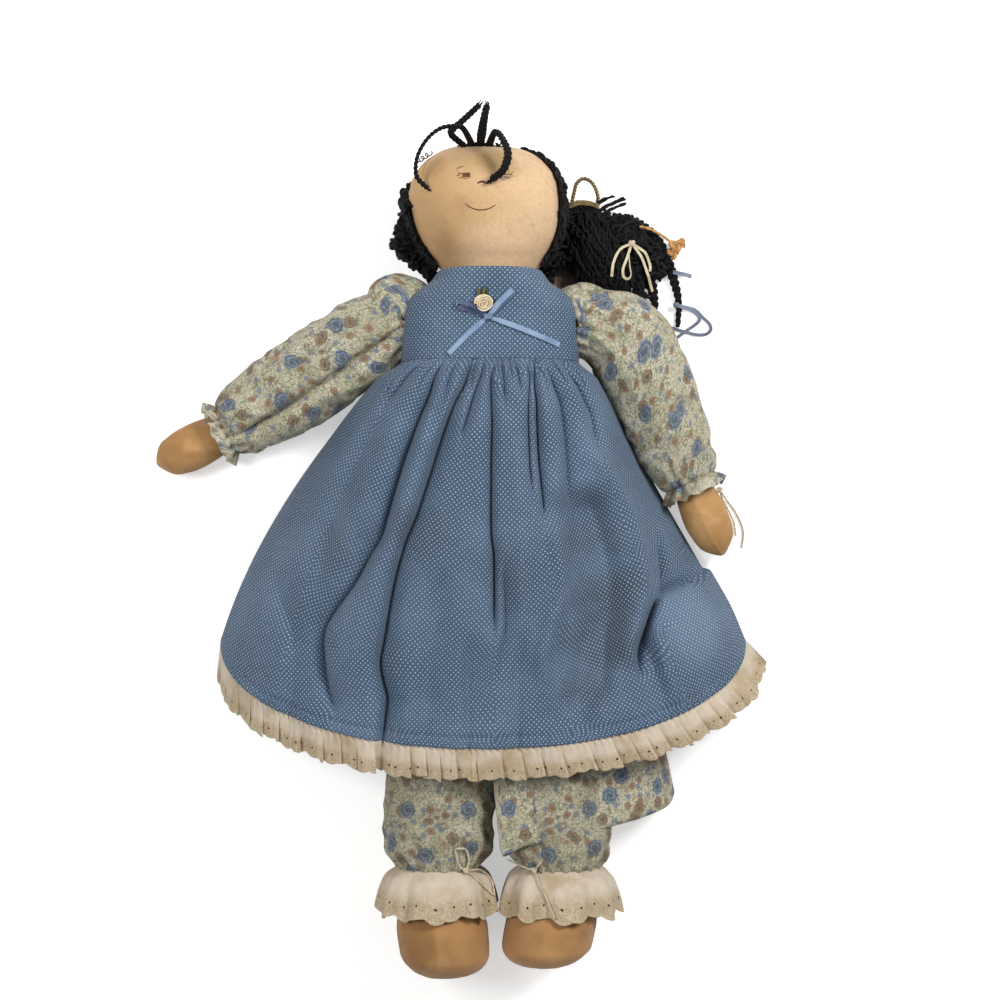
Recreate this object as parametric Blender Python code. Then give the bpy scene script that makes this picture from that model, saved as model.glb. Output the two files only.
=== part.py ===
"""A stuffed cloth doll lying on its back, in a print dress under a dotted pinafore.

Metres, +Z up, +Y towards the crown, +X towards the doll's own left hand.
The origin is on the floor, on the flattened back of the pinafore's bodice.
Every garment is a shell of its own round the stuffed piece that it covers.
"""
import math

import bmesh
import bpy
from mathutils import Vector
from mathutils.bvhtree import BVHTree

# Cloth and clearances
cloth = 0.0012
gap = 0.0005
layer = cloth + gap
pressed = 0.004
overrun = 0.02

# Body under the bodice, measured outside the pinafore
chest_width = 0.112
chest_height = 0.0755
side_height = 0.037
neckline_y = 0.035
neck_hole_rise = 0.008
neckline_lift = 0.0015
waist_y = -0.021
torso_top_y = 0.0215
hip_y = -0.120
hip_z = 0.033
hip_width = 0.096
hip_slope = 0.7
hip_bulge = 0.034
seat_start = 0.0135
seat_drop = 0.024

# Head and neck; the neck ends in a ball that sits in the top of the torso
neck_y = 0.042
neck_z = 0.038
neck_radius = 0.026
neck_half_width = 0.030
head_width = 0.0954
head_depth = 0.0815
head_low = 0.0050
crown_y = 0.115
head_lean = -0.0038

# Hair: a wig of yarn at the back, curls on one side, a pigtail on the other
cap_thickness = 0.0030
curl_radius = 0.0072
curl_length = 0.064
curl_start = (-0.0480, 0.0980, 0.0300)
tie_x = 0.0525
tie_y = 0.081
tie_z = 0.022
pigtail_length = 0.056
pigtail_width = 0.036
pigtail_depth = 0.027
braid_radius = 0.0052
long_braid_radius = 0.0038
yarn_thick = 0.0028
yarn_thin = 0.0024

# Shoulders, arms and sleeves
shoulder_y = 0.0035
shoulder_z = 0.034
armhole_radius = 0.0195
sleeve_root_radius = 0.0188
sleeve_puff = 0.026
arm_root_radius = 0.0150
arm_length = 0.160

# Legs, pantaloons and feet
hip_spacing = 0.054
leg_length = 0.224
leg_radius = 0.0262
leg_top_radius = 0.0180
leg_z = 0.0325
pantaloon_radius = 0.0335
pantaloon_depth = 0.0270
foot_length = 0.060
foot_half_width = 0.0290
foot_height = 0.0690
frill_reach = 0.0150
frill_length = 0.0230
frill_waves = 14
frill_wave = 0.0025

# Pinafore skirt, its lace, and the dress skirt under it
skirt_flare = 0.0620
hem_width = 0.339
hem_middle_x = -0.0050
hem_corner_y = -0.199
hem_bow = 0.0610
hem_edge = 0.0090
skirt_top = 0.0800
hem_top = 0.0705
fold_height = 0.0085
left_bulge = 0.0150
lace_width = 0.0175
lace_wave = 0.0016
lace_waves = 24
under_hem_width = 0.226
under_hem_x = 0.0080
under_corner_y = -0.250
under_bow = 0.0540
under_top = 0.0642
under_rise = 0.0765
under_edge = 0.0070
under_drop = 0.025
under_tuck = -0.060

# Trimmings
ribbon_width = 0.0031
ribbon_thickness = 0.0006
rose_radius = 0.0056
rose_height = 0.0052
string_thick = 0.0014
cord_thick = 0.0018
bow_knot_radius = 0.0022
tan_knot_radius = 0.0042
rose_x = -0.0035
bow_x = -0.0011
bow_y = 0.0040
leaf_reach = 0.0090
leaf_width = 0.0042


def material(name, colour, roughness=0.9):
    """A plain material of the part's own colour."""
    made = bpy.data.materials.new(name)
    made.use_nodes = True
    shader = made.node_tree.nodes["Principled BSDF"]
    shader.inputs["Base Color"].default_value = (*colour, 1)
    shader.inputs["Roughness"].default_value = roughness
    shader.inputs["Metallic"].default_value = 0
    made.diffuse_color = (*colour, 1)
    return made


def solid(name, points, faces, look, helper=False):
    """An object from points and faces, with its faces turned outwards."""
    mesh = bpy.data.meshes.new(name)
    mesh.from_pydata([tuple(p) for p in points], [], faces)
    sides = bmesh.new()
    sides.from_mesh(mesh)
    bmesh.ops.recalc_face_normals(sides, faces=sides.faces)
    sides.to_mesh(mesh)
    sides.free()
    mesh.materials.append(look)
    mesh.shade_smooth()
    made = bpy.data.objects.new(name, mesh)
    bpy.context.collection.objects.link(made)
    if helper:
        made.hide_render = True
        made.display_type = "WIRE"
    return made


def side_faces(first, second, count):
    """The quads between two closed rings, which start at the given point numbers."""
    return [
        (first + k, first + (k + 1) % count, second + (k + 1) % count, second + k)
        for k in range(count)
    ]


def loft(name, rings, look, helper=False):
    """A closed solid through rings of points, with flat ends."""
    count = len(rings[0])
    points = [p for ring in rings for p in ring]
    faces = [tuple(range(count)), tuple(range(len(points) - count, len(points)))]
    for i in range(len(rings) - 1):
        faces += side_faces(i * count, (i + 1) * count, count)
    return solid(name, points, faces, look, helper)


def shell(name, outer, inner, look):
    """A sleeve of cloth between outer rings and inner rings, open at both ends."""
    count = len(outer[0])
    inside = count * len(outer)
    points = [p for ring in outer + inner for p in ring]
    faces = []
    for i in range(len(outer) - 1):
        faces += side_faces(i * count, (i + 1) * count, count)
        faces += side_faces(inside + i * count, inside + (i + 1) * count, count)
    last = (len(outer) - 1) * count
    faces += side_faces(0, inside, count)
    faces += side_faces(last, inside + last, count)
    return solid(name, points, faces, look)


def change(made, other, operation):
    """Cut another solid out of this one, or join it on."""
    step = made.modifiers.new(operation.lower(), "BOOLEAN")
    step.operation = operation
    step.solver = "EXACT"
    step.object = other


def tube(name, points, thickness, look, sides=2):
    """A round cord along a smooth curve through the points."""
    curve = bpy.data.curves.new(name, "CURVE")
    curve.dimensions = "3D"
    curve.bevel_depth = thickness / 2
    curve.bevel_resolution = sides
    curve.use_fill_caps = True
    line = smooth_line(points, thickness)
    spline = curve.splines.new("POLY")
    spline.points.add(len(line) - 1)
    for place, point in zip(spline.points, line):
        place.co = (*point, 1)
    curve.materials.append(look)
    made = bpy.data.objects.new(name, curve)
    bpy.context.collection.objects.link(made)
    return made


def smooth_line(points, thickness):
    """Points along a smooth curve through the given ones, a few thicknesses apart."""
    route = [Vector(p) for p in points]
    route = [2 * route[0] - route[1], *route, 2 * route[-1] - route[-2]]
    line = [route[1]]
    for a, b, c, d in zip(route, route[1:], route[2:], route[3:]):
        steps = max(2, round((c - b).length / (2 * thickness)))
        for k in range(1, steps + 1):
            t = k / steps
            line.append(
                (
                    2 * b
                    + (c - a) * t
                    + (2 * a - 5 * b + 4 * c - d) * t**2
                    + (3 * b - a - 3 * c + d) * t**3
                )
                / 2
            )
    return line


def signed_power(value, power):
    return math.copysign(abs(value) ** power, value)


def oval(y, middle_x, middle_z, half_width, half_height, count, floor=0, power=2.2):
    """A ring across the body, flattened where the floor presses it."""
    ring = []
    for k in range(count):
        turn = 2 * math.pi * k / count
        x = middle_x + half_width * signed_power(math.cos(turn), 2 / power)
        z = middle_z + half_height * signed_power(math.sin(turn), 2 / power)
        ring.append((x, y, max(z, floor)))
    return ring


def between(table, at):
    """Values of a table of (place, value, value...) rows, read off at one place."""
    if at <= table[0][0]:
        return table[0][1:]
    for low, high in zip(table, table[1:]):
        if at <= high[0]:
            share = (at - low[0]) / (high[0] - low[0])
            return tuple(a + (b - a) * share for a, b in zip(low[1:], high[1:]))
    return table[-1][1:]


def spread_shares(count):
    """Shares from -1 to 1 that crowd towards both ends."""
    return [math.sin(math.pi / 2 * (2 * k / (count - 1) - 1)) for k in range(count)]


def even_shares(count, half_width, bow):
    """Shares from -1 to 1 that lie evenly along a bowed hem."""
    steps = 400
    turns = [math.pi * (k / steps - 0.5) for k in range(steps + 1)]
    reach = [0]
    for a, b in zip(turns, turns[1:]):
        across = half_width * (math.sin(b) - math.sin(a))
        down = bow * (math.cos(b) - math.cos(a))
        reach.append(reach[-1] + math.hypot(across, down))
    table = list(zip(reach, turns))
    return [math.sin(between(table, reach[-1] * k / (count - 1))[0]) for k in range(count)]


body_power = 2.6
flare_share = 0.06
front_shares = spread_shares(13)
back_shares = front_shares[-2:0:-1]


def bulge(share, power=body_power):
    """How high a rounded section stands at a share of its half width."""
    return max(0, 1 - abs(share) ** power) ** (1 / power)


# The bodice from waist to neckline: place, width, top and underside
bodice_shares = [
    (0.00, 1.00, 0.990, 0.00),
    (0.29, 1.00, 1.000, 0.00),
    (0.52, 0.99, 1.000, 0.00),
    (0.69, 0.92, 1.000, 0.10),
    (0.79, 0.81, 1.000, 0.40),
    (0.88, 0.68, 1.000, 0.70),
    (1.00, 0.59, 1.000, 1.00),
]
bodice_length = neckline_y - waist_y
bodice_stations = [waist_y + row[0] * bodice_length for row in bodice_shares]
bodice_stations = sorted([*bodice_stations, torso_top_y])


def body_ring(y, inset):
    """A ring of the clothed body, drawn in by the layers that lie outside it."""
    share = (y - waist_y) / bodice_length
    width, top, rise = between(bodice_shares, share)
    half_width = chest_width / 2 * width - inset
    high = chest_height * top + neckline_lift * rise - inset
    low = (pressed + neck_hole_rise) * rise - pressed + inset
    ring = [
        (half_width * u, y, side_height + (high - side_height) * bulge(u))
        for u in front_shares
    ]
    ring += [
        (half_width * u, y, max(side_height - (side_height - low) * bulge(u), inset))
        for u in back_shares
    ]
    return ring


def body_rings(start, end, inset):
    """Rings of the clothed body from one place to another."""
    inner = [y for y in bodice_stations if start < y < end]
    return [body_ring(y, inset) for y in [start, *inner, end]]


def bodice_front(x, y, lift=0):
    """The height of the pinafore's front over a place, plus a lift."""
    share = (y - waist_y) / bodice_length
    width, top, _ = between(bodice_shares, share)
    half_width = chest_width / 2 * width
    return side_height + (chest_height * top - side_height) * bulge(x / half_width) + lift


def hip_wedge(distance, inset):
    """Half the thickness of the body or a leg at a distance from the hip seam."""
    return min(hip_slope * distance, hip_bulge) + inset


def torso_ring(y, inset=0):
    """A ring of the stuffed torso under the waist, grown by the layers over it."""
    distance = y - hip_y
    waist_share = distance / (waist_y - hip_y)
    top = chest_height * bodice_shares[0][2] - 2 * layer
    high = hip_z + hip_wedge(distance, inset)
    low = max(hip_z - hip_wedge(distance, inset), 3 * layer - inset)
    high = min(high, top + inset)
    waist_half = chest_width / 2 - 2 * layer
    half_width = hip_width / 2 + (waist_half - hip_width / 2) * waist_share + inset
    middle = low + (high - low) * (side_height - 2 * layer) / (top - 2 * layer)
    ring = [(half_width * u, y, middle + (high - middle) * bulge(u)) for u in front_shares]
    ring += [(half_width * u, y, middle - (middle - low) * bulge(u)) for u in back_shares]
    return ring


# Torso stations under the waist, from the hip seam
torso_shares = [0.005, 0.07, 0.17, 0.29, 0.40, 0.49, 0.62, 0.80]


def torso_stations(start):
    length = waist_y - hip_y
    return [hip_y + share * length for share in torso_shares if share * length >= start]


def neck_ball_rings(grow, count):
    """Rings of the ball at the foot of the neck, round as seen from the side."""
    radius = neck_radius + grow
    half_width = neck_half_width + grow
    rings = []
    for turn_share in (0.05, 0.2, 0.4, 0.6, 0.8):
        turn = math.pi / 2 * turn_share
        rings.append(
            oval(
                neck_y - radius * math.cos(turn),
                0,
                neck_z,
                half_width * math.sin(turn),
                radius * math.sin(turn),
                count,
                power=2,
            )
        )
    return rings


# The head from the neckline to the crown: place, width, underside and top
head_shares = [
    (0.090, 0.71, 0.074, 0.775),
    (0.19, 0.84, 0.037, 0.859),
    (0.31, 0.935, 0.012, 0.933),
    (0.44, 0.985, 0.000, 0.982),
    (0.56, 1.000, 0.000, 1.000),
    (0.69, 0.965, 0.012, 0.975),
    (0.81, 0.86, 0.061, 0.896),
    (0.91, 0.68, 0.147, 0.773),
    (0.97, 0.43, 0.270, 0.626),
    (1.00, 0.12, 0.405, 0.503),
]
head_points = 20


def head_section(share, grow=0):
    """Middle, half width and half height of the head at a share of its length."""
    width, low, high = between(head_shares, share)
    middle_z = head_low + head_depth * (low + high) / 2
    lean = head_lean * min(1, share / head_shares[4][0])
    return lean, middle_z, head_width / 2 * width + grow, head_depth * (high - low) / 2 + grow


def head_ring(share, grow=0, count=head_points):
    middle_x, middle_z, half_width, half_height = head_section(share, grow)
    y = neckline_y + share * (crown_y - neckline_y)
    return oval(y, middle_x, middle_z, half_width, half_height, count, power=2.1)


def make_head(look):
    rings = neck_ball_rings(0, head_points)
    rings += [head_ring(row[0]) for row in head_shares]
    return loft("head", rings, look)


def head_space(look, grow, name):
    """The head grown on all sides, which cuts what lies against it."""
    rings = [head_ring(row[0], grow) for row in head_shares]
    last = rings[-1]
    rings.append([(x, y + grow, z) for x, y, z in last])
    return loft(name, rings, look, helper=True)


def make_torso(look):
    below = [torso_ring(y) for y in torso_stations(0)]
    above = body_rings(waist_y, torso_top_y, 2 * layer)
    torso = loft("torso", below + above, look)
    ball = neck_ball_rings(gap, head_points)
    top = [(x, y, z) for x, y, z in ball[-1]]
    ball.append([(x, neckline_y + overrun, z) for x, y, z in top])
    cup = loft("neck_space", ball, look, helper=True)
    change(torso, cup, "DIFFERENCE")
    return torso


def sideways_cylinder(name, radius, look, count=24):
    """A cutter through both armholes."""
    reach = chest_width
    rings = []
    for x in (-reach, reach):
        ring = []
        for k in range(count):
            turn = 2 * math.pi * k / count
            ring.append(
                (x, shoulder_y + radius * math.cos(turn), shoulder_z + radius * math.sin(turn))
            )
        rings.append(ring)
    return loft(name, rings, look, helper=True)


def make_bodices(dress_look, pinafore_look):
    dress_top = torso_top_y
    dress = shell(
        "dress_bodice",
        body_rings(waist_y, dress_top, layer),
        body_rings(waist_y, dress_top, layer + cloth),
        dress_look,
    )
    change(dress, sideways_cylinder("arm_space", arm_root_radius + gap, dress_look), "DIFFERENCE")
    pinafore = shell(
        "pinafore_bodice",
        body_rings(waist_y, neckline_y, 0),
        body_rings(waist_y, neckline_y, cloth),
        pinafore_look,
    )
    armhole = sideways_cylinder("armhole_space", armhole_radius, pinafore_look)
    change(pinafore, armhole, "DIFFERENCE")


def make_pantaloon_seat(look):
    start = seat_start
    top_y = waist_y - seat_drop
    stations = [y for y in torso_stations(start) if y < top_y] + [top_y]
    stations.insert(0, hip_y + start)
    shell(
        "pantaloon_seat",
        [torso_ring(y, layer) for y in stations],
        [torso_ring(y, gap) for y in stations],
        look,
    )


# Skirts. A ring runs across the front from the right edge to the left and back underneath
class Skirt:
    """A gathered skirt lying flat: its hem, its height and the layers outside it."""

    def __init__(self, width, middle, corner, bow, edge, rise, top, inset, count, back, folds):
        self.width = width
        self.middle = middle
        self.corner = corner
        self.bow = bow
        self.edge = edge
        self.rise = rise
        self.top = top
        self.inset = inset
        self.front = spread_shares(count)
        self.back = spread_shares(back)[-2:0:-1]
        self.folds = folds
        self.hem_drop = lambda share: 0

    def plan(self, along, share):
        """Where a point of the skirt lies, along the skirt and across it."""
        flare = min(1, along / flare_share)
        flare = flare * flare * (3 - 2 * flare)
        waist_half = chest_width / 2 + (skirt_flare - chest_width / 2) * flare
        waist_half -= self.inset
        half = waist_half + (self.width / 2 - self.inset - waist_half) * along
        x = half * share + self.middle * along
        x += left_bulge * 4 * along * (1 - along) * min(share, 0)
        hem = self.corner - self.bow * math.sqrt(max(0, 1 - share * share))
        hem += self.hem_drop(share)
        start = waist_y - gap
        return x, start + (hem - start) * along

    def heights(self, along):
        """Edge height, top height and roundness at a place along the skirt."""
        first = chest_height * bodice_shares[0][2] - self.inset
        rows = [
            (0, side_height, first, body_power),
            (0.09, side_height * 0.92, self.rise, 2.5),
            (0.3, self.edge * 1.6, self.rise, 1.9),
            (0.6, self.edge, (self.rise + self.top) / 2, 1.7),
            (0.8, self.edge, self.top + (self.rise - self.top) * 0.1, 1.75),
            (1, self.edge, self.top, 1.75),
        ]
        return between(rows, along)

    def fold(self, along, share):
        """How far a fold stands up, from nothing in a valley to one on a ridge."""
        if not self.folds:
            return 0
        height = 1
        for at_waist, at_hem, start, end, width in self.folds:
            middle = at_waist + (at_hem - at_waist) * along
            ease = min(1, max(0, (along - start) / 0.1)) * min(1, max(0, (end - along) / 0.15))
            height -= ease * math.exp(-(((share - middle) / width) ** 2))
        edge = 1 - abs(share) ** 6
        return max(0, height) * edge * min(1, along / 0.12)

    def ring(self, along, depth, lift):
        """A ring of the skirt, drawn in by a depth of cloth."""
        edge, top, power = self.heights(along)
        floor = self.inset + depth
        points = []
        for share in self.front:
            x, y = self.plan(along, share)
            x -= depth * share
            rise = (1 - abs(share) ** body_power) ** (1 / power)
            z = edge + (top - depth - edge) * rise
            points.append((x, y, z + lift * self.fold(along, share)))
        for share in self.back:
            x, y = self.plan(along, share)
            x -= depth * share
            fall = (1 - abs(share) ** body_power) ** (1 / power)
            low = floor - pressed
            points.append((x, y, max(edge - (edge - low) * fall, floor)))
        return points

    def make(self, name, stations, lift, look):
        outer = [self.ring(s, 0, lift) for s in stations]
        inner = [self.ring(s, cloth, lift) for s in stations]
        return shell(name, outer, inner, look)


# Valleys between folds: share across at waist and hem, start, end and width
valley_shares = [
    (-0.86, -0.84, 0.0, 1.3, 0.075),
    (-0.56, -0.42, 0.0, 1.3, 0.085),
    (-0.14, -0.34, 0.0, 0.9, 0.075),
    (0.03, 0.12, 0.0, 1.3, 0.085),
    (0.40, 0.42, 0.0, 1.1, 0.080),
    (0.72, 0.70, 0.1, 1.3, 0.090),
]
pinafore_stations = [0, 0.03, 0.07, 0.14, 0.25, 0.4, 0.57, 0.75, 0.9, 1]
dress_stations = [0, 0.04, 0.09, 0.2, 0.4, 0.6, 0.8, 0.92, 1]


def under_hem_drop(share):
    """The dress hangs out below the pinafore on the doll's left side only."""
    shift = min(1, max(0, (share + 0.10) / 0.10))
    return -(under_drop - under_tuck) * shift - under_tuck


def make_skirts(dress_look, pinafore_look, lace_look):
    skirt = Skirt(
        hem_width, hem_middle_x, hem_corner_y, hem_bow, hem_edge, skirt_top, hem_top,
        0, 39, 13, valley_shares,
    )
    skirt.make("pinafore_skirt", pinafore_stations, fold_height, pinafore_look)
    make_lace(skirt, lace_look)
    under = Skirt(
        under_hem_width, under_hem_x, under_corner_y, under_bow, under_edge, under_rise,
        under_top, layer, 23, 13, [],
    )
    under.hem_drop = under_hem_drop
    under.make("dress_skirt", dress_stations, 0, dress_look)


def make_lace(skirt, look):
    """A gathered strip along the hem, front and back, standing out past it."""
    front_count = 3 * lace_waves + 1
    skirt.front = even_shares(front_count, hem_width / 2, hem_bow)
    rims = [skirt.ring(1, depth, fold_height) for depth in (0, cloth)]
    rows = {0: [], cloth: []}
    for out_share, droop_share, wave_share in ((0, 0, 0), (0.45, 0.3, 0.8), (1, 1, 1)):
        for depth, rim in zip((0, cloth), rims):
            ring = []
            for k, (x, y, z) in enumerate(rim):
                side = (x - hem_middle_x) / (hem_width / 2)
                outward = Vector((0.75 * side, -1, 0)).normalized()
                reach = 2 * gap + lace_width * out_share
                wave = lace_wave * wave_share * math.cos(2 * math.pi * k / 3)
                if k >= front_count:
                    wave = 0
                droop = lace_width / 8 * droop_share
                height = max(z - droop + wave, depth)
                ring.append((x + outward.x * reach, y + outward.y * reach, height))
            rows[depth].append(ring)
    shell("pinafore_lace", rows[0], rows[cloth], look)


# Arms. Routes run from the armhole to the hand: how far out, how far along and how high
arm_shares = {
    "right": [
        (0.000, 0.000, 1.000),
        (0.062, -0.003, 0.985),
        (0.208, -0.091, 0.853),
        (0.379, -0.203, 0.750),
        (0.547, -0.309, 0.662),
        (0.681, -0.391, 0.574),
        (0.731, -0.419, 0.529),
        (0.856, -0.481, 0.441),
        (0.956, -0.528, 0.397),
        (0.996, -0.547, 0.382),
    ],
    "left": [
        (0.000, 0.000, 1.000),
        (0.068, -0.003, 0.985),
        (0.199, -0.059, 0.882),
        (0.284, -0.203, 0.779),
        (0.359, -0.378, 0.691),
        (0.437, -0.553, 0.588),
        (0.474, -0.634, 0.529),
        (0.531, -0.759, 0.441),
        (0.578, -0.859, 0.397),
        (0.599, -0.903, 0.382),
    ],
}
armhole_x = chest_width / 2 - 2 * layer + gap
outward = {"right": -1, "left": 1}


def arm_route(side):
    return [
        (
            outward[side] * (armhole_x + arm_length * out),
            shoulder_y + arm_length * down,
            shoulder_z * high,
        )
        for out, down, high in arm_shares[side]
    ]


def route_ring(route, at, radius, height, count, floor, slide=0):
    """A ring square to an arm's route at one of its points, moved along by a slide."""
    here = Vector(route[at])
    before = Vector(route[max(at - 1, 0)])
    after = Vector(route[min(at + 1, len(route) - 1)])
    if at <= 1:
        along = Vector((math.copysign(1, here.x), 0, 0))
    else:
        along = (after - before).normalized()
    across = Vector((-along.y, along.x, 0)).normalized()
    place = here + along * slide
    ring = []
    for k in range(count):
        turn = 2 * math.pi * k / count
        point = place + across * (radius * math.cos(turn))
        ring.append((point.x, point.y, max(point.z + height * math.sin(turn), floor)))
    return ring


# The stuffed arm at each point of its route: half width, and half depth over half width
arm_width_shares = [
    (1.00, 1.0),
    (1.00, 1.0),
    (1.08, 1.0),
    (1.10, 0.95),
    (1.00, 0.95),
    (0.86, 0.95),
    (0.83, 0.95),
    (0.97, 0.86),
    (0.80, 0.86),
    (0.36, 0.86),
]


def make_arm(side, skin):
    route = arm_route(side)
    count = 14
    rings = []
    for at, (width, depth) in enumerate(arm_width_shares):
        radius = arm_root_radius * width
        rings.append(route_ring(route, at, radius, radius * depth, count, layer))
    loft(f"{side}_arm", rings, skin)


# The sleeve at points of the route: point, slide, half width and half depth over the puff
sleeve_shares = [
    (1, 0.0, 0.80, 0.80),
    (2, 0.0, 0.98, 1.00),
    (3, 0.0, 1.00, 0.98),
    (4, 0.0, 0.92, 0.86),
    (5, -0.2, 0.80, 0.74),
]


def make_sleeve(side, look):
    route = arm_route(side)
    count = 16
    root_x = chest_width / 2 - layer + gap
    direction = outward[side]
    outer = []
    inner = []
    puff = sleeve_puff
    neck = chest_width / 2 + gap
    for x, radius in ((root_x, sleeve_root_radius), (neck, sleeve_root_radius)):
        start = [(direction * x, route[0][1], route[0][2]), route[1]]
        outer.append(route_ring(start, 0, radius, radius, count, 0))
        inner.append(route_ring(start, 0, radius - cloth, radius - cloth, count, cloth))
    for at, slide, width, depth in sleeve_shares:
        outer.append(route_ring(route, at, puff * width, puff * depth, count, 0, puff * slide))
        inner.append(
            route_ring(
                route, at, puff * width - cloth, puff * depth - cloth, count, cloth, puff * slide
            )
        )
    wrist = arm_root_radius * arm_width_shares[6][0] + 2 * gap
    wrist_depth = wrist * arm_width_shares[6][1]
    for slide, out in ((-0.25, 0.0), (0.25, 0.16), (0.5, 0.22)):
        radius = wrist + puff * out
        height = wrist_depth + puff * out
        outer.append(
            route_ring(route, 6, radius + cloth, height + cloth, count, 0, wrist * slide)
        )
        inner.append(route_ring(route, 6, radius, height, count, cloth, wrist * slide))
    shell(f"{side}_sleeve", outer, inner, look)


# Legs. The middle of each leg: place from hip to toe, then its sideways share
leg_middle_shares = {
    "right": [(0.0, -0.500), (0.35, -0.537), (0.80, -0.620), (1.0, -0.511)],
    "left": [(0.0, 0.500), (0.35, 0.704), (0.80, 0.824), (1.0, 0.602)],
}
foot_length_shares = {"right": 1.058, "left": 0.950}


def leg_middle(side, distance):
    length = leg_length + foot_length
    return hip_spacing * between(leg_middle_shares[side], distance / length)[0]


# The leg: share of its length, half width and half depth over the leg's radius
leg_shares = [
    (0.10, 0.76, 0.80),
    (0.17, 0.85, 0.90),
    (0.30, 0.93, 0.92),
    (0.50, 1.00, 0.92),
    (0.75, 0.95, 0.90),
    (0.93, 0.86, 0.84),
    (1.00, 0.82, 0.80),
]

# The foot: share of its length, half width, underside and top over its own sizes
foot_shares = [
    (0.12, 0.76, 0.12, 0.76),
    (0.32, 0.88, 0.065, 0.90),
    (0.56, 0.99, -0.005, 1.00),
    (0.78, 0.98, -0.01, 1.00),
    (0.92, 0.82, 0.06, 0.91),
    (1.00, 0.46, 0.26, 0.70),
]


def make_leg(side, look):
    count = 16
    rings = []
    slope = hip_slope * 0.9
    for turn_share in (0.05, 0.22, 0.45, 0.70):
        turn = math.pi / 2 * turn_share
        distance = gap / 2 + leg_top_radius * (1 - math.cos(turn))
        half = leg_top_radius * math.sin(turn)
        height = slope * distance
        y = hip_y - distance
        rings.append(oval(y, leg_middle(side, distance), hip_z, half, height, count))
    for share, width, depth in leg_shares:
        distance = leg_length * share
        height = min(leg_radius * depth, slope * distance)
        middle = hip_z + (leg_z - hip_z) * share
        x = leg_middle(side, distance)
        rings.append(oval(hip_y - distance, x, middle, leg_radius * width, height, count))
    length = foot_length * foot_length_shares[side]
    for share, width, low, high in foot_shares:
        distance = leg_length + length * share
        middle = foot_height * (low + high) / 2
        height = foot_height * (high - low) / 2
        x = leg_middle(side, distance)
        rings.append(
            oval(hip_y - distance, x, middle, foot_half_width * width, height, count)
        )
    loft(f"{side}_leg", rings, look)


# The pantaloon leg: share of the leg's length, half width and half depth
pantaloon_shares = [
    (0.062, 0.62, 0.46),
    (0.11, 0.69, 0.73),
    (0.19, 0.77, 0.99),
    (0.40, 0.87, 1.00),
    (0.65, 0.93, 1.00),
    (0.82, 1.00, 1.00),
    (0.92, 0.98, 0.96),
]


def make_pantaloon(side, look):
    count = 16
    outer = []
    inner = []
    floor = 2 * layer
    ankle = leg_shares[-1]
    rows = [
        (share, pantaloon_radius * width, pantaloon_depth * depth)
        for share, width, depth in pantaloon_shares
    ]
    ankle_half = leg_radius * ankle[1] + layer + gap
    ankle_deep = leg_radius * ankle[2] + layer + gap
    rows.append((0.985, ankle_half, ankle_deep))
    for share, half, deep in rows:
        distance = leg_length * share
        x = leg_middle(side, distance)
        y = hip_y - distance
        middle = max(hip_z + (leg_z - hip_z) * share, 0)
        outer.append(oval(y, x, middle, half, deep, count, floor))
        inner.append(oval(y, x, middle, half - cloth, deep - cloth, count, floor + cloth))
    shell(f"{side}_pantaloon", outer, inner, look)


def make_ankle_lace(side, look):
    """A gathered frill round the ankle, standing out over the foot."""
    count = frill_waves * 3
    ankle = leg_shares[-1]
    outer = []
    inner = []
    for share, reach, wave in ((0, 0, 0), (0.40, 0.72, 0.5), (1.0, 1.0, 1.0)):
        distance = leg_length + frill_length * share
        x = leg_middle(side, leg_length)
        half = leg_radius * ankle[1] + gap + cloth + frill_reach * reach
        deep = leg_radius * ankle[2] + gap + cloth + frill_reach * reach
        rings = []
        for depth in (0, cloth):
            ring = oval(0, x, leg_z, half - depth, deep - depth, count, depth)
            rings.append(
                [
                    (px, hip_y - distance - frill_wave * wave * math.cos(2 * math.pi * k / 3), pz)
                    for k, (px, _, pz) in enumerate(ring)
                ]
            )
        outer.append(rings[0])
        inner.append(rings[1])
    shell(f"{side}_ankle_lace", outer, inner, look)


def make_hair_cap(name, look, grow=0, helper=False):
    """The yarn wig behind the head, a crescent from cheek to cheek."""
    first = head_points // 2 - 1
    last = head_points + 1
    rings = []
    for row in head_shares[:-1]:
        inner = head_ring(row[0], 2 * gap)
        outer = head_ring(row[0], 2 * gap + cap_thickness + grow)
        deep = head_ring(row[0], head_low + grow)
        ring = []
        for k in range(first, last + 1):
            sunk = math.sin(math.pi * (k - first) / (last - first)) ** 2
            x, y, z = outer[k % head_points]
            _, _, floor_z = deep[k % head_points]
            ring.append((x, y, max(z + (floor_z - z) * sunk, -grow)))
        ring += [inner[k % head_points] for k in range(last, first - 1, -1)]
        rings.append(ring)
    return loft(name, rings, look, helper)


def lumpy_tube(name, points, radii, flatten, count, look, floor=0):
    """A bunch of yarn along a route, thick and thin in turn."""
    rings = []
    route = [Vector(p) for p in points]
    for at, (place, radius) in enumerate(zip(route, radii)):
        before = route[max(at - 1, 0)]
        after = route[min(at + 1, len(route) - 1)]
        along = (after - before).normalized()
        across = Vector((-along.y, along.x, 0)).normalized()
        ring = []
        for k in range(count):
            turn = 2 * math.pi * k / count
            point = place + across * (radius * math.cos(turn))
            ring.append((point.x, point.y, max(place.z + flatten * radius * math.sin(turn), floor)))
        rings.append(ring)
    return loft(name, rings, look)


# Side curls: sideways, along and down from the first curl, then the width of each
curl_shares = [
    (0.000, 0.000, 0.000, 0.45),
    (0.063, 0.094, 0.047, 0.85),
    (0.125, 0.219, 0.094, 0.75),
    (0.156, 0.344, 0.125, 1.05),
    (0.188, 0.469, 0.156, 0.85),
    (0.195, 0.594, 0.172, 1.20),
    (0.172, 0.719, 0.188, 0.95),
    (0.102, 0.820, 0.203, 1.00),
    (0.000, 0.883, 0.219, 0.60),
]

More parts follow.
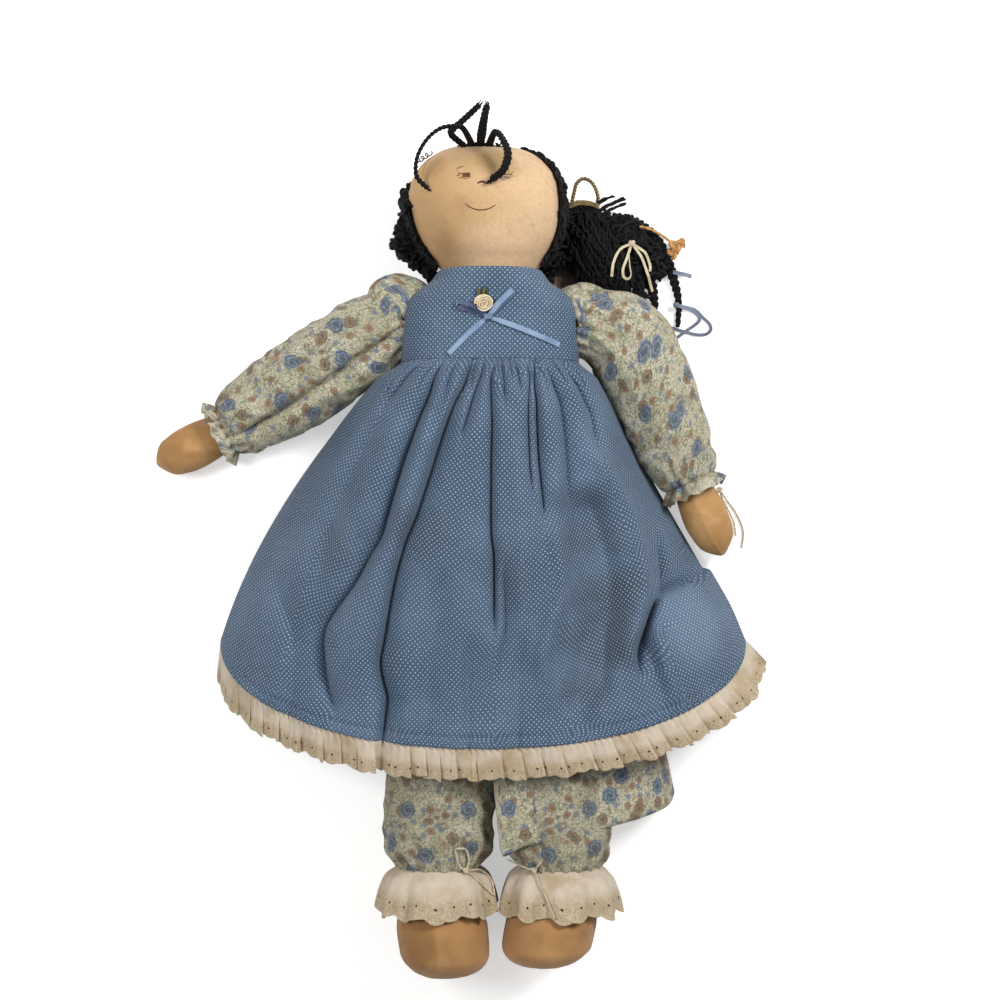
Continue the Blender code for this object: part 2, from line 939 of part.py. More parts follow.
# The pigtail from its tie: share along, sideways share of its width, and width share
pigtail_shares = [
    (0.00, 0.00, 0.26),
    (0.12, 0.08, 0.66),
    (0.30, 0.24, 0.98),
    (0.52, 0.44, 1.00),
    (0.74, 0.66, 0.94),
    (0.90, 0.80, 0.72),
    (1.00, 0.86, 0.38),
]

# The wig's gathered lock that runs into the tie: sideways from it over the tie's radius,
# height over the tie's height, and half width over the tie's radius
tie_radius = pigtail_width / 2 * pigtail_shares[0][2]
tie_level = 0.8
lock_aside = 0.43
lock_shares = [(-3.20, 0.92, 0.86), (-2.10, 0.87, 0.90), (-1.05, tie_level, 0.81)]


def make_wig(look):
    """The wig with the lock that is gathered towards the pigtail's tie."""
    wig = make_hair_cap("hair_cap", look)
    route = [
        (tie_x + tie_radius * aside, tie_y + tie_radius * lock_aside, tie_z * high)
        for aside, high, _ in lock_shares
    ]
    radii = [tie_radius * row[-1] for row in lock_shares]
    lock = lumpy_tube("wig_lock", route, radii, pigtail_depth / pigtail_width, 10, look)
    lock.hide_render = True
    lock.display_type = "WIRE"
    change(wig, lock, "UNION")


def make_hair(look):
    make_wig(look)
    rooms = [
        head_space(look, 3 * gap + cap_thickness, "curl_space"),
        make_hair_cap("cap_space", look, gap, helper=True),
    ]
    x, y, z = curl_start
    route = [
        (x - curl_length * out, y - curl_length * along, z - curl_length * down)
        for out, along, down, _ in curl_shares
    ]
    radii = [curl_radius * row[-1] for row in curl_shares]
    curls = lumpy_tube("side_curls", route, radii, 1.5, 10, look)
    for room in rooms:
        change(curls, room, "DIFFERENCE")
    route = []
    radii = []
    for share, aside, width in pigtail_shares:
        depth = pigtail_depth / 2 * width
        height = min(tie_z, depth) if share > 0 else tie_z * tie_level
        route.append((tie_x + pigtail_width * aside, tie_y - pigtail_length * share, height))
        radii.append(pigtail_width / 2 * width)
    flatness = pigtail_depth / pigtail_width
    pigtail = lumpy_tube("pigtail", route, radii, flatness, 14, look)
    for room in rooms:
        change(pigtail, room, "DIFFERENCE")
    radii = [radius + gap for radius in radii]
    space = lumpy_tube("pigtail_space", route, radii, flatness, 14, look)
    space.hide_render = True
    space.display_type = "WIRE"
    head = faces_of(["head"])
    for name, braid in crown_braids.items():
        thick = yarn_thick if name == "crown_braid_upright" else yarn_thin
        tube(name, rooted(braid, head, thick), thick, look)


def faces_of(names):
    """The outer faces of some finished pieces, to lay trimmings on."""
    bpy.context.view_layer.update()
    graph = bpy.context.evaluated_depsgraph_get()
    return [BVHTree.FromObject(bpy.data.objects[name], graph) for name in names]


def nearest(place, trees):
    """The nearest point of some faces to a place, and the way they face there."""
    found = [tree.find_nearest(place) for tree in trees]
    place, way, _, _ = min(found, key=lambda hit: hit[3])
    return place, way


def rooted(route, trees, thickness):
    """A route whose first point is moved to stand square on what it grows from."""
    foot, way = nearest(route[0], trees)
    start = foot + way * gap * 2.5
    return [start, start + way * thickness, *route[2:]]


def top_under(x, y, trees):
    """The height of the highest face under a place, or the floor."""
    above = Vector((x, y, chest_width))
    hits = [tree.ray_cast(above, Vector((0, 0, -1)))[0] for tree in trees]
    return max([hit.z for hit in hits if hit] + [0])


def lay(plan, trees, thickness):
    """A route over a plan of places that lies on what is under it without sharp drops."""
    line = smooth_line([(x, y, 0) for x, y in plan], thickness)
    reach = thickness / 2 + gap
    heights = []
    for x, y, _ in line:
        around = [(0, 0), (reach, 0), (-reach, 0), (0, reach), (0, -reach)]
        heights.append(max(top_under(x + dx, y + dy, trees) for dx, dy in around) + reach)
    laid = []
    for here in line:
        height = max(
            high - 0.9 * (here - there).length for high, there in zip(heights, line)
        )
        laid.append(Vector((here.x, here.y, height)))
    return laid


def rope(name, line, thickness, look, flatten=1, helper=True):
    """A soft cord or ribbon as a solid that can be joined to its knot."""
    count = 6
    rings = []
    across = Vector((1, 0, 0))
    for at, place in enumerate(line):
        along = (line[min(at + 1, len(line) - 1)] - line[max(at - 1, 0)]).normalized()
        level = along.cross(Vector((0, 0, 1)))
        if level.length > 0.2:
            across = level.normalized()
        up = across.cross(along).normalized()
        ring = []
        for k in range(count):
            turn = 2 * math.pi * (k + 0.5) / count
            side = across * (thickness / 2 * math.cos(turn))
            ring.append(place + side + up * (thickness / 2 * flatten * math.sin(turn)))
        rings.append(ring)
    return loft(name, rings, look, helper)


def tied(name, place, radius, plans, thickness, look, carriers, flatten=1):
    """A knot with its loops and tails, laid on what carries it, as one piece."""
    trees = faces_of(carriers)
    x, y = place
    around = [(0, 0), (radius, 0), (-radius, 0), (0, radius), (0, -radius)]
    height = max(top_under(x + dx, y + dy, trees) for dx, dy in around) + radius + gap
    rows = 6
    rings = []
    for row in range(1, rows):
        turn = math.pi * row / rows
        half = radius * math.sin(turn)
        rings.append(oval(y - radius * math.cos(turn), x, height, half, half, 8, power=2))
    made = loft(name, rings, look)
    for number, plan in enumerate(plans):
        route = lay([place, *plan], trees, thickness)
        lift = height - route[0].z
        line = []
        for point in route:
            share = max(0, 1 - (point - route[0]).length / (radius * 4))
            line.append(point + Vector((0, 0, lift * share)))
        part = rope(f"{name}_strand_{number}", line, thickness, look, flatten)
        change(made, part, "UNION")
    return made


# Thin braids at the crown, from the top of the head
crown_braids = {
    "crown_braid_short": [
        (-0.0165, 0.1125, 0.0620),
        (-0.0209, 0.1140, 0.0660),
        (-0.0239, 0.1170, 0.0680),
        (-0.0220, 0.1205, 0.0690),
        (-0.0177, 0.1240, 0.0700),
        (-0.0115, 0.1295, 0.0710),
        (-0.0060, 0.1345, 0.0720),
    ],
    "crown_braid_left": [
        (-0.0112, 0.1135, 0.0620),
        (-0.0122, 0.1165, 0.0700),
        (-0.0163, 0.1185, 0.0780),
        (-0.0217, 0.1189, 0.0830),
        (-0.0295, 0.1171, 0.0860),
        (-0.0367, 0.1113, 0.0880),
        (-0.0421, 0.1036, 0.0870),
        (-0.0447, 0.0963, 0.0840),
        (-0.0443, 0.0885, 0.0800),
        (-0.0383, 0.0822, 0.0775),
    ],
    "crown_braid_upright": [
        (-0.0060, 0.1140, 0.0620),
        (-0.0052, 0.1180, 0.0690),
        (-0.0037, 0.1240, 0.0750),
        (-0.0017, 0.1323, 0.0800),
    ],
    "crown_braid_right": [
        (-0.0002, 0.1135, 0.0620),
        (0.0012, 0.1160, 0.0720),
        (0.0036, 0.1162, 0.0800),
        (0.0081, 0.1095, 0.0880),
        (0.0111, 0.1003, 0.0920),
        (0.0081, 0.0907, 0.0915),
        (0.0008, 0.0851, 0.0895),
    ],
}

# Braids that hang from the pigtail: plan of each, and how thick it is at each place
hanging_braids = {
    "pigtail_braid_short": (
        [
            (0.0780, 0.0600),
            (0.0889, 0.0604),
            (0.0960, 0.0525),
            (0.1014, 0.0408),
            (0.1055, 0.0281),
            (0.1076, 0.0159),
        ],
        braid_radius,
        [0.96, 0.96, 1.00, 0.92, 0.70, 0.36],
    ),
    "pigtail_braid_long": (
        [
            (0.0790, 0.0740),
            (0.0900, 0.0735),
            (0.1000, 0.0690),
            (0.1085, 0.0605),
            (0.1151, 0.0471),
            (0.1198, 0.0334),
            (0.1226, 0.0200),
            (0.1221, 0.0045),
        ],
        long_braid_radius,
        [0.90, 0.90, 0.95, 1.00, 1.00, 0.80, 0.52, 0.34],
    ),
}

# A cord loop that stands up from the pigtail's tie
cord_loop_route = [
    (0.0521, 0.0822, 0.0250),
    (0.0521, 0.0840, 0.0250),
    (0.0535, 0.0880, 0.0256),
    (0.0552, 0.0940, 0.0260),
    (0.0600, 0.0970, 0.0262),
    (0.0657, 0.0939, 0.0240),
    (0.0692, 0.0872, 0.0180),
    (0.0690, 0.0830, 0.0140),
]

# Knots, each with the plans of its loops and tails; a loop is two strands that meet
tan_knot = (0.1206, 0.0569)
tan_strands = [
    [(0.1130, 0.0625), (0.1045, 0.0665), (0.0962, 0.0679)],
    [(0.1250, 0.0620), (0.1262, 0.0560)],
]
cream_knot = (0.0908, 0.0566)
cream_strands = [
    [(0.0819, 0.0509), (0.0776, 0.0411), (0.0777, 0.0340)],
    [(0.0864, 0.0458), (0.0846, 0.0371), (0.0868, 0.0340)],
    [(0.0915, 0.0471), (0.0904, 0.0380), (0.0860, 0.0337)],
    [(0.0993, 0.0472), (0.1041, 0.0335), (0.1062, 0.0235)],
]
blue_knot = (0.1206, 0.0185)
blue_strands = [
    [(0.1320, 0.0157), (0.1410, 0.0056), (0.1405, -0.0008)],
    [(0.1190, 0.0090), (0.1240, 0.0015), (0.1320, -0.0008), (0.1408, 0.0000)],
    [(0.1185, 0.0050), (0.1176, -0.0052), (0.1260, -0.0020), (0.1376, 0.0076)],
]
ribbon_plan = [(0.1185, 0.0397), (0.1270, 0.0388), (0.1311, 0.0375)]
wrist_knot = (0.1470, -0.1015)
wrist_strands = [
    [(0.1528, -0.1068), (0.1600, -0.1165), (0.1647, -0.1282), (0.1638, -0.1394)],
    [(0.1520, -0.1095), (0.1580, -0.1210), (0.1600, -0.1315)],
]
ankle_knots = {"right": (-0.0150, -0.3385), "left": (0.0275, -0.3385)}
ankle_strands = {
    "right": [
        [(-0.0090, -0.3435), (0.0001, -0.3533), (0.0035, -0.3560)],
        [(-0.0060, -0.3400), (0.0007, -0.3470), (0.0030, -0.3555)],
        [(-0.0190, -0.3350), (-0.0216, -0.3245)],
        [(-0.0130, -0.3330), (-0.0150, -0.3250), (-0.0210, -0.3240)],
    ],
    "left": [
        [(0.0180, -0.3365), (0.0106, -0.3340)],
        [(0.0309, -0.3454), (0.0357, -0.3552), (0.0400, -0.3652)],
        [(0.0300, -0.3350), (0.0325, -0.3320)],
    ],
}


def make_pigtail_pieces(yarn, tan, cream, blue):
    for name, (plan, radius, shares) in hanging_braids.items():
        radii = [radius * share for share in shares]
        rise = [tie_z * 0.5, tie_z * 0.3] + [0] * (len(plan) - 2)
        route = [(x, y, half * 0.85 + up) for (x, y), half, up in zip(plan, radii, rise)]
        braid = lumpy_tube(name, route, radii, 0.9, 10, yarn)
        change(braid, bpy.data.objects["pigtail_space"], "DIFFERENCE")
    loop = rooted(cord_loop_route, faces_of(["pigtail"]), cord_thick)
    tube("pigtail_cord_loop", loop, cord_thick, tan)
    pigtail = ["pigtail", "pigtail_braid_short", "pigtail_braid_long"]
    tied(
        "pigtail_tan_bow", tan_knot, tan_knot_radius, tan_strands, cord_thick, tan, pigtail
    )
    tied(
        "pigtail_cream_bow", cream_knot, bow_knot_radius, cream_strands, cord_thick, cream,
        pigtail,
    )
    tied(
        "pigtail_blue_bow", blue_knot, bow_knot_radius, blue_strands, cord_thick, blue,
        pigtail, 0.5,
    )
    ribbon = lay(ribbon_plan, faces_of(pigtail), cord_thick)
    rope("pigtail_ribbon", ribbon, cord_thick, blue, 0.5, helper=False)


def strip(name, route, half_widths, lift, thick, look, helper=False):
    """A flat ribbon that lies on the front of the bodice."""
    rings = []
    for at, ((x, y), half) in enumerate(zip(route, half_widths)):
        before = route[max(at - 1, 0)]
        after = route[min(at + 1, len(route) - 1)]
        along = Vector((after[0] - before[0], after[1] - before[1])).normalized()
        sides = [(x + along.y * half * way, y - along.x * half * way) for way in (1, -1)]
        low = [(px, py, bodice_front(px, py, lift)) for px, py in sides]
        high = [(px, py, pz + thick) for px, py, pz in low]
        rings.append([low[0], low[1], high[1], high[0]])
    return loft(name, rings, look, helper)


def straight(start, end, count):
    """Evenly spaced places from one to another."""
    return [
        tuple(a + (b - a) * k / (count - 1) for a, b in zip(start, end)) for k in range(count)
    ]


# Ends of the bodice bow's loops and tails from its knot, over the chest's width
loop_end_shares = [(0.121, 0.137), (-0.170, 0.077)]
tail_end_shares = [(-0.214, -0.201), (0.393, -0.147)]
loop_width_shares = [0.3, 0.9, 1.1, 0.9, 0.3]


def make_bodice_trim(blue, cream, green):
    x, y = bow_x, bow_y
    half = ribbon_width / 2
    made = strip(
        "bodice_bow",
        straight((x - half, y), (x + half, y), 3),
        [half, half, half],
        gap,
        ribbon_thickness * 2.5,
        blue,
    )
    for number, (dx, dy) in enumerate(loop_end_shares):
        end = (x + chest_width * dx, y + chest_width * dy)
        route = straight((x, y), end, 5)
        widths = [half * share for share in loop_width_shares]
        lift = gap * 1.2
        part = strip(f"bow_loop_{number}", route, widths, lift, ribbon_thickness * 2, blue, True)
        change(made, part, "UNION")
    for number, (dx, dy) in enumerate(tail_end_shares):
        end = (x + chest_width * dx, y + chest_width * dy)
        route = straight((x, y), end, 7)
        lift = gap * 1.4
        part = strip(f"bow_tail_{number}", route, [half] * 7, lift, ribbon_thickness, blue, True)
        change(made, part, "UNION")
    rose_y = bow_y + half + gap + rose_radius
    lift = gap + ribbon_thickness * 2 + gap
    leaf_y = rose_y + rose_radius * 0.55
    strip(
        "rose_leaves",
        straight((rose_x - leaf_reach, leaf_y), (rose_x + leaf_reach, leaf_y), 7),
        [leaf_width * share for share in (0.1, 0.42, 0.5, 0.3, 0.5, 0.42, 0.1)],
        lift,
        ribbon_thickness,
        green,
    )
    base = chest_height + lift + ribbon_thickness + gap
    rings = []
    count = 15
    profile = [(0.72, 0), (1.0, 0.22), (0.92, 0.62), (0.62, 0.86), (0.5, 0.62), (0.34, 0.98)]
    for out, high in profile:
        ring = []
        for k in range(count):
            turn = 2 * math.pi * k / count
            petal = 1 + 0.10 * math.cos(5 * turn + 3 * high)
            radius = rose_radius * out * petal
            ring.append(
                (
                    rose_x + radius * math.cos(turn),
                    rose_y + radius * math.sin(turn),
                    base + rose_height * high,
                )
            )
        rings.append(ring)
    loft("ribbon_rose", rings, cream)


def make_strings(cream):
    tied(
        "left_wrist_string", wrist_knot, bow_knot_radius, wrist_strands, string_thick, cream,
        ["left_arm", "left_sleeve"],
    )
    for side, strands in ankle_strands.items():
        carriers = [f"{side}_leg", f"{side}_pantaloon", f"{side}_ankle_lace", "dress_skirt"]
        tied(
            f"{side}_ankle_string", ankle_knots[side], bow_knot_radius, strands, string_thick,
            cream, carriers,
        )


def make_joint(name, place, nodes, carrier=None):
    """An empty on the joint's axis, which carries the pieces that turn on it."""
    axis = bpy.data.objects.new(name, None)
    axis.location = place
    axis.empty_display_size = gap
    bpy.context.collection.objects.link(axis)
    bpy.context.view_layer.update()
    if carrier:
        axis.parent = carrier
        axis.matrix_parent_inverse = carrier.matrix_world.inverted()
        bpy.context.view_layer.update()
    for node in nodes:
        carried = bpy.data.objects[node]
        carried.parent = axis
        carried.matrix_parent_inverse = axis.matrix_world.inverted()
    return axis


def make_joints():
    head_nodes = ["head", "hair_cap", "side_curls", *crown_braids]
    neck = make_joint("neck_axis", (0, neck_y, neck_z), head_nodes)
    pigtail_nodes = [
        "pigtail",
        *hanging_braids,
        "pigtail_cord_loop",
        "pigtail_tan_bow",
        "pigtail_cream_bow",
        "pigtail_blue_bow",
        "pigtail_ribbon",
    ]
    make_joint("pigtail_axis", (tie_x, tie_y, tie_z * tie_level), pigtail_nodes, neck)
    skirt_nodes = ["pinafore_skirt", "pinafore_lace", "dress_skirt"]
    seam = make_joint("hip_axis", (0, hip_y, hip_z), skirt_nodes)
    extra = {"right": [], "left": ["left_wrist_string"]}
    for side, way in outward.items():
        arm_nodes = [f"{side}_arm", f"{side}_sleeve", *extra[side]]
        place = (way * armhole_x, shoulder_y, shoulder_z)
        make_joint(f"{side}_shoulder_axis", place, arm_nodes)
        leg_nodes = [f"{side}_{piece}" for piece in ("leg", "pantaloon", "ankle_lace")]
        leg_nodes.append(f"{side}_ankle_string")
        place = (way * hip_spacing / 2, hip_y - gap / 2 - leg_top_radius, hip_z)
        make_joint(f"{side}_hip_axis", place, leg_nodes, seam)


def main():
    for old in list(bpy.data.objects):
        bpy.data.objects.remove(old, do_unlink=True)
    muslin = material("muslin", (0.62, 0.40, 0.22))
    print_cloth = material("floral_cotton", (0.55, 0.52, 0.40))
    dotted = material("dotted_cotton", (0.08, 0.17, 0.30))
    lace = material("eyelet_lace", (0.80, 0.72, 0.60))
    yarn = material("black_yarn", (0.012, 0.010, 0.010))
    make_torso(muslin)
    make_head(muslin)
    make_bodices(print_cloth, dotted)
    make_pantaloon_seat(print_cloth)
    make_skirts(print_cloth, dotted, lace)
    for side in ("right", "left"):
        make_arm(side, muslin)
        make_sleeve(side, print_cloth)
        make_leg(side, muslin)
        make_pantaloon(side, print_cloth)
        make_ankle_lace(side, lace)
    make_hair(yarn)
    tan = material("tan_cord", (0.40, 0.22, 0.09))
    cream = material("cream_string", (0.75, 0.66, 0.50))
    blue = material("blue_ribbon", (0.14, 0.25, 0.42), 0.5)
    green = material("green_ribbon", (0.10, 0.14, 0.07), 0.6)
    make_pigtail_pieces(yarn, tan, cream, blue)
    rose = material("cream_ribbon", (0.74, 0.68, 0.55), 0.5)
    make_bodice_trim(blue, rose, green)
    make_strings(cream)
    make_joints()


main()
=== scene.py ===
"""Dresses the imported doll: cloth, yarn, ribbons and the stitched face, all in metres."""
import math

import bmesh
import bpy
import numpy as np
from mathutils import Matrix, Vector, noise
from mathutils.bvhtree import BVHTree


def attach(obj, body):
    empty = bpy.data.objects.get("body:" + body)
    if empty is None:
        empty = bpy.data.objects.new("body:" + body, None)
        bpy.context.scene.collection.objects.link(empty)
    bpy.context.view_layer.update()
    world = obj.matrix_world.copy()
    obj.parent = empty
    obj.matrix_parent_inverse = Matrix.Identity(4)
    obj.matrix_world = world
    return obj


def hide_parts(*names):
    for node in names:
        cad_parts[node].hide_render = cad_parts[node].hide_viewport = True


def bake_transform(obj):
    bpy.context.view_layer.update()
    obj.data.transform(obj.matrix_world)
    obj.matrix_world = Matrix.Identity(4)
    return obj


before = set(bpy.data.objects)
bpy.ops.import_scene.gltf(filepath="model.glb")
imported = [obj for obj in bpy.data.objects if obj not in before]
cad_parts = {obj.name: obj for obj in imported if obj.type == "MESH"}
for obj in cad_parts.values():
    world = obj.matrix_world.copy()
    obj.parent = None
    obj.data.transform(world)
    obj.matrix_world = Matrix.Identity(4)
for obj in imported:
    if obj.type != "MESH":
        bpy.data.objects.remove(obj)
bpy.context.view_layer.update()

pi = math.pi
chance = np.random.RandomState(11)

# Sizes shared with the part's source
cloth = 0.0012
gap = 0.0005
layer = cloth + gap
pressed = 0.004
chest_width = 0.112
chest_height = 0.0755
side_height = 0.037
neckline_y = 0.035
waist_y = -0.021
torso_top_y = 0.0215
hip_y = -0.120
hip_z = 0.033
leg_length = 0.224
foot_length = 0.060
leg_radius = 0.0262
leg_z = 0.0325
arm_root_radius = 0.0150
arm_length = 0.160
sleeve_puff = 0.026
shoulder_y = 0.0035
shoulder_z = 0.034
tie = (0.0525, 0.081, 0.0176)

# The camera stands where the photograph was taken from
camera_place = (0.00625, -0.1081, 1.2)
pixel_slope = 0.0005435


def make_camera():
    lens = bpy.data.cameras.new("camera")
    lens.sensor_width = 36
    lens.lens = 36 / (1000 * pixel_slope)
    camera = bpy.data.objects.new("camera", lens)
    camera.location = camera_place
    bpy.context.scene.collection.objects.link(camera)
    bpy.context.scene.camera = camera


# Materials
class Recipe:
    """A material's nodes, added and joined by short calls."""

    def __init__(self, name, roughness=0.85, sheen=0.0):
        self.material = bpy.data.materials.new(name)
        self.material.use_nodes = True
        self.tree = self.material.node_tree
        self.shader = self.tree.nodes["Principled BSDF"]
        self.shader.inputs["Roughness"].default_value = roughness
        self.shader.inputs["Specular IOR Level"].default_value = 0.3
        self.shader.inputs["Sheen Weight"].default_value = sheen
        self.shader.inputs["Sheen Roughness"].default_value = 0.5
        self.cloth_map = self.node("ShaderNodeUVMap").outputs["UV"]
        self.place = self.node("ShaderNodeTexCoord").outputs["Object"]

    def node(self, kind, links=(), **settings):
        made = self.tree.nodes.new(kind)
        for key, value in settings.items():
            setattr(made, key, value)
        for socket, value in dict(links).items():
            self.put(made.inputs[socket], value)
        return made

    def put(self, socket, value):
        if isinstance(value, bpy.types.NodeSocket):
            self.tree.links.new(value, socket)
        else:
            socket.default_value = value

    def sum(self, operation, a, b=0.5, c=0.5):
        made = self.node("ShaderNodeMath", {0: a, 1: b, 2: c}, operation=operation)
        return made.outputs[0]

    def vector(self, operation, a, b=None, scale=None):
        links = {0: a}
        if b is not None:
            links[1] = b
        made = self.node("ShaderNodeVectorMath", links, operation=operation)
        if scale is not None:
            self.put(made.inputs["Scale"], scale)
        return made.outputs["Value" if operation in ("LENGTH", "DISTANCE") else "Vector"]

    def ramp(self, value, low, high, start=0.0, end=1.0, kind="SMOOTHSTEP"):
        made = self.node(
            "ShaderNodeMapRange",
            {"Value": value, "From Min": low, "From Max": high, "To Min": start, "To Max": end},
            interpolation_type=kind,
        )
        return made.outputs["Result"]

    def mix(self, share, first, second, blend="MIX"):
        made = self.node("ShaderNodeMix", data_type="RGBA", blend_type=blend)
        self.put(made.inputs["Factor"], share)
        for socket, value in ((made.inputs[6], first), (made.inputs[7], second)):
            self.put(socket, colour(value) if isinstance(value, tuple) else value)
        return made.outputs[2]

    def noise(self, at, scale, detail=2.0, rough=0.5, distortion=0.0):
        made = self.node(
            "ShaderNodeTexNoise",
            {"Vector": at, "Scale": scale, "Detail": detail, "Roughness": rough,
             "Distortion": distortion},
        )
        return made.outputs["Fac"]

    def cells(self, at, scale, feature="F1", randomness=1.0):
        return self.node(
            "ShaderNodeTexVoronoi",
            {"Vector": at, "Scale": scale, "Randomness": randomness},
            voronoi_dimensions="2D",
            feature=feature,
        )

    def weave(self, pitch, at=None):
        """Threads over and under each other, from 0 to 1."""
        turned = self.vector("SCALE", at or self.cloth_map, scale=2 * pi / pitch)
        parts = self.node("ShaderNodeSeparateXYZ", {0: turned})
        across = self.sum("SINE", parts.outputs[0])
        along = self.sum("SINE", parts.outputs[1])
        return self.sum("MULTIPLY_ADD", self.sum("MULTIPLY", across, along), 0.5, 0.5)

    def finish(self, paint, height=None, strength=0.4, distance=0.0003, rough=None):
        self.put(self.shader.inputs["Base Color"], paint)
        if height is not None:
            bump = self.node(
                "ShaderNodeBump", {"Height": height, "Strength": strength, "Distance": distance}
            )
            self.tree.links.new(bump.outputs["Normal"], self.shader.inputs["Normal"])
        if rough is not None:
            self.put(self.shader.inputs["Roughness"], rough)
        return self.material


def colour(code):
    """A colour of the screen, 0 to 255, as the linear one that Blender takes."""
    linear = [
        v / 255 / 12.92 if v <= 10 else ((v / 255 + 0.055) / 1.055) ** 2.4 for v in code
    ]
    return (*linear, 1.0)


def muslin_material(name, base, stain_and_painted_light, light):
    """Tea-stained calico with uneven dye."""
    r = Recipe(name, 0.85, 0.15)
    wide = r.noise(r.place, 22, 3, 0.6)
    paint = r.mix(r.ramp(wide, 0.35, 0.7), base, stain_and_painted_light)
    pale = r.noise(r.place, 34, 2, 0.5, 0.6)
    paint = r.mix(r.ramp(pale, 0.52, 0.75, 0, 0.7), paint, light)
    fine = r.noise(r.place, 420, 3, 0.7)
    paint = r.mix(r.ramp(fine, 0.3, 0.8, 0, 0.35), paint, stain_and_painted_light)
    weave = r.weave(0.00055)
    slub = r.noise(r.place, 900, 2, 0.6)
    height = r.sum("MULTIPLY_ADD", slub, 0.6, weave)
    return r.finish(paint, height, 0.35, 0.0002)


def dotted_material():
    """Blue cotton with small pale dots in staggered rows, with painted shade over the skirt's
    hollows and a painted highlight on the flap.
    """
    r = Recipe("dotted_cotton_look", 0.8, 0.12)
    pitch = 0.0031
    drift = r.node("ShaderNodeTexNoise", {"Vector": r.cloth_map, "Scale": 230.0, "Detail": 1.0})
    drift = r.vector("SUBTRACT", drift.outputs["Color"], (0.5, 0.5, 0.5))
    drift = r.vector("MULTIPLY", drift, (1, 1, 0))
    scaled = r.vector("SCALE", r.cloth_map, scale=1 / pitch)
    scaled = r.vector("ADD", scaled, r.vector("SCALE", drift, scale=0.22))
    masks = []
    for shift in ((0, 0, 0), (0.5, 0.5, 0)):
        moved = r.vector("ADD", scaled, shift)
        local = r.vector("SUBTRACT", r.vector("FRACTION", moved), (0.5, 0.5, 0))
        masks.append(r.ramp(r.vector("LENGTH", local), 0.11, 0.165, 1, 0))
    dots = r.sum("MAXIMUM", *masks)
    wide = r.noise(r.place, 26, 3, 0.55)
    paint = r.mix(r.ramp(wide, 0.35, 0.7), (68, 89, 112), (84, 105, 129))
    # Painted shade: grey patches darken the cloth over the skirt's deep hollows, the pocket above
    # the flap and a few folds, where shade falls.
    for place, reach, amount in (
        ((0.0680, -0.1350, 0.076), 0.026, 0.45), ((0.0720, -0.1650, 0.073), 0.030, 0.62),
        ((0.0700, -0.1950, 0.071), 0.030, 0.62), ((0.0620, -0.2210, 0.070), 0.026, 0.45),
        ((0.1170, -0.1510, 0.055), 0.018, 0.60), ((-0.1000, -0.1350, 0.060), 0.022, 0.35),
        ((-0.0450, -0.1250, 0.085), 0.024, 0.30), ((0.0050, -0.1500, 0.085), 0.026, 0.25),
    ):
        away = r.vector("DISTANCE", r.place, place)
        away = r.sum("MULTIPLY_ADD", r.sum("SUBTRACT", wide, 0.5), 0.03, away)
        paint = r.mix(r.ramp(away, reach * 0.35, reach, amount, 0), paint, (56, 62, 68))
    fine = r.noise(r.place, 700, 3, 0.7)
    paint = r.mix(r.ramp(fine, 0.35, 0.8, 0, 0.5), paint, (56, 74, 96))
    # Painted highlight: a paler patch on the top of the flap, where the lamp's light falls.
    away = r.vector("DISTANCE", r.place, (0.1320, -0.1850, 0.055))
    paint = r.mix(r.ramp(away, 0.010, 0.036, 0.45, 0), paint, (116, 138, 162))
    strong = r.ramp(r.noise(r.cloth_map, 330, 1), 0.3, 0.6, 0.60, 0.90)
    paint = r.mix(r.sum("MULTIPLY", dots, strong), paint, (176, 192, 206))
    weave = r.weave(0.0005)
    height = r.sum("MULTIPLY_ADD", dots, 0.35, weave)
    return r.finish(paint, height, 0.3, 0.00018)


def flower(r, at, spacing, size, petals, keep, seed_shift):
    """Masks of flowers scattered over the cloth: the whole flower and its inner rings."""
    moved = r.vector("ADD", at, seed_shift)
    found = r.cells(moved, 1 / spacing)
    centre = r.vector("SUBTRACT", moved, found.outputs["Position"])
    parts = r.node("ShaderNodeSeparateXYZ", {0: centre})
    turn = r.sum("ARCTAN2", parts.outputs[1], parts.outputs[0])
    pick = r.node("ShaderNodeSeparateColor", {0: found.outputs["Color"]})
    spin = r.sum("MULTIPLY", pick.outputs[1], 6.3)
    lobes = r.sum("SINE", r.sum("MULTIPLY_ADD", turn, petals, spin))
    reach = r.sum("MULTIPLY", found.outputs["Distance"], spacing)
    reach = r.sum("MULTIPLY_ADD", lobes, -0.05 * size, reach)
    kept = r.sum("LESS_THAN", pick.outputs[0], keep)
    worn = r.noise(r.vector("ADD", at, seed_shift), 620, 2, 0.6)
    reach = r.sum("MULTIPLY_ADD", r.sum("SUBTRACT", worn, 0.5), 0.5 * size, reach)
    whole = r.sum("MULTIPLY", r.ramp(reach, size * 0.86, size, 1, 0), kept)
    spiral = r.sum("MULTIPLY_ADD", reach, 2 * pi / (size * 0.42), r.sum("MULTIPLY", turn, 2.0))
    rings = r.ramp(r.sum("SINE", spiral), 0.1, 0.8)
    heart = r.ramp(reach, size * 0.2, size * 0.3, 1, 0)
    return whole, rings, heart


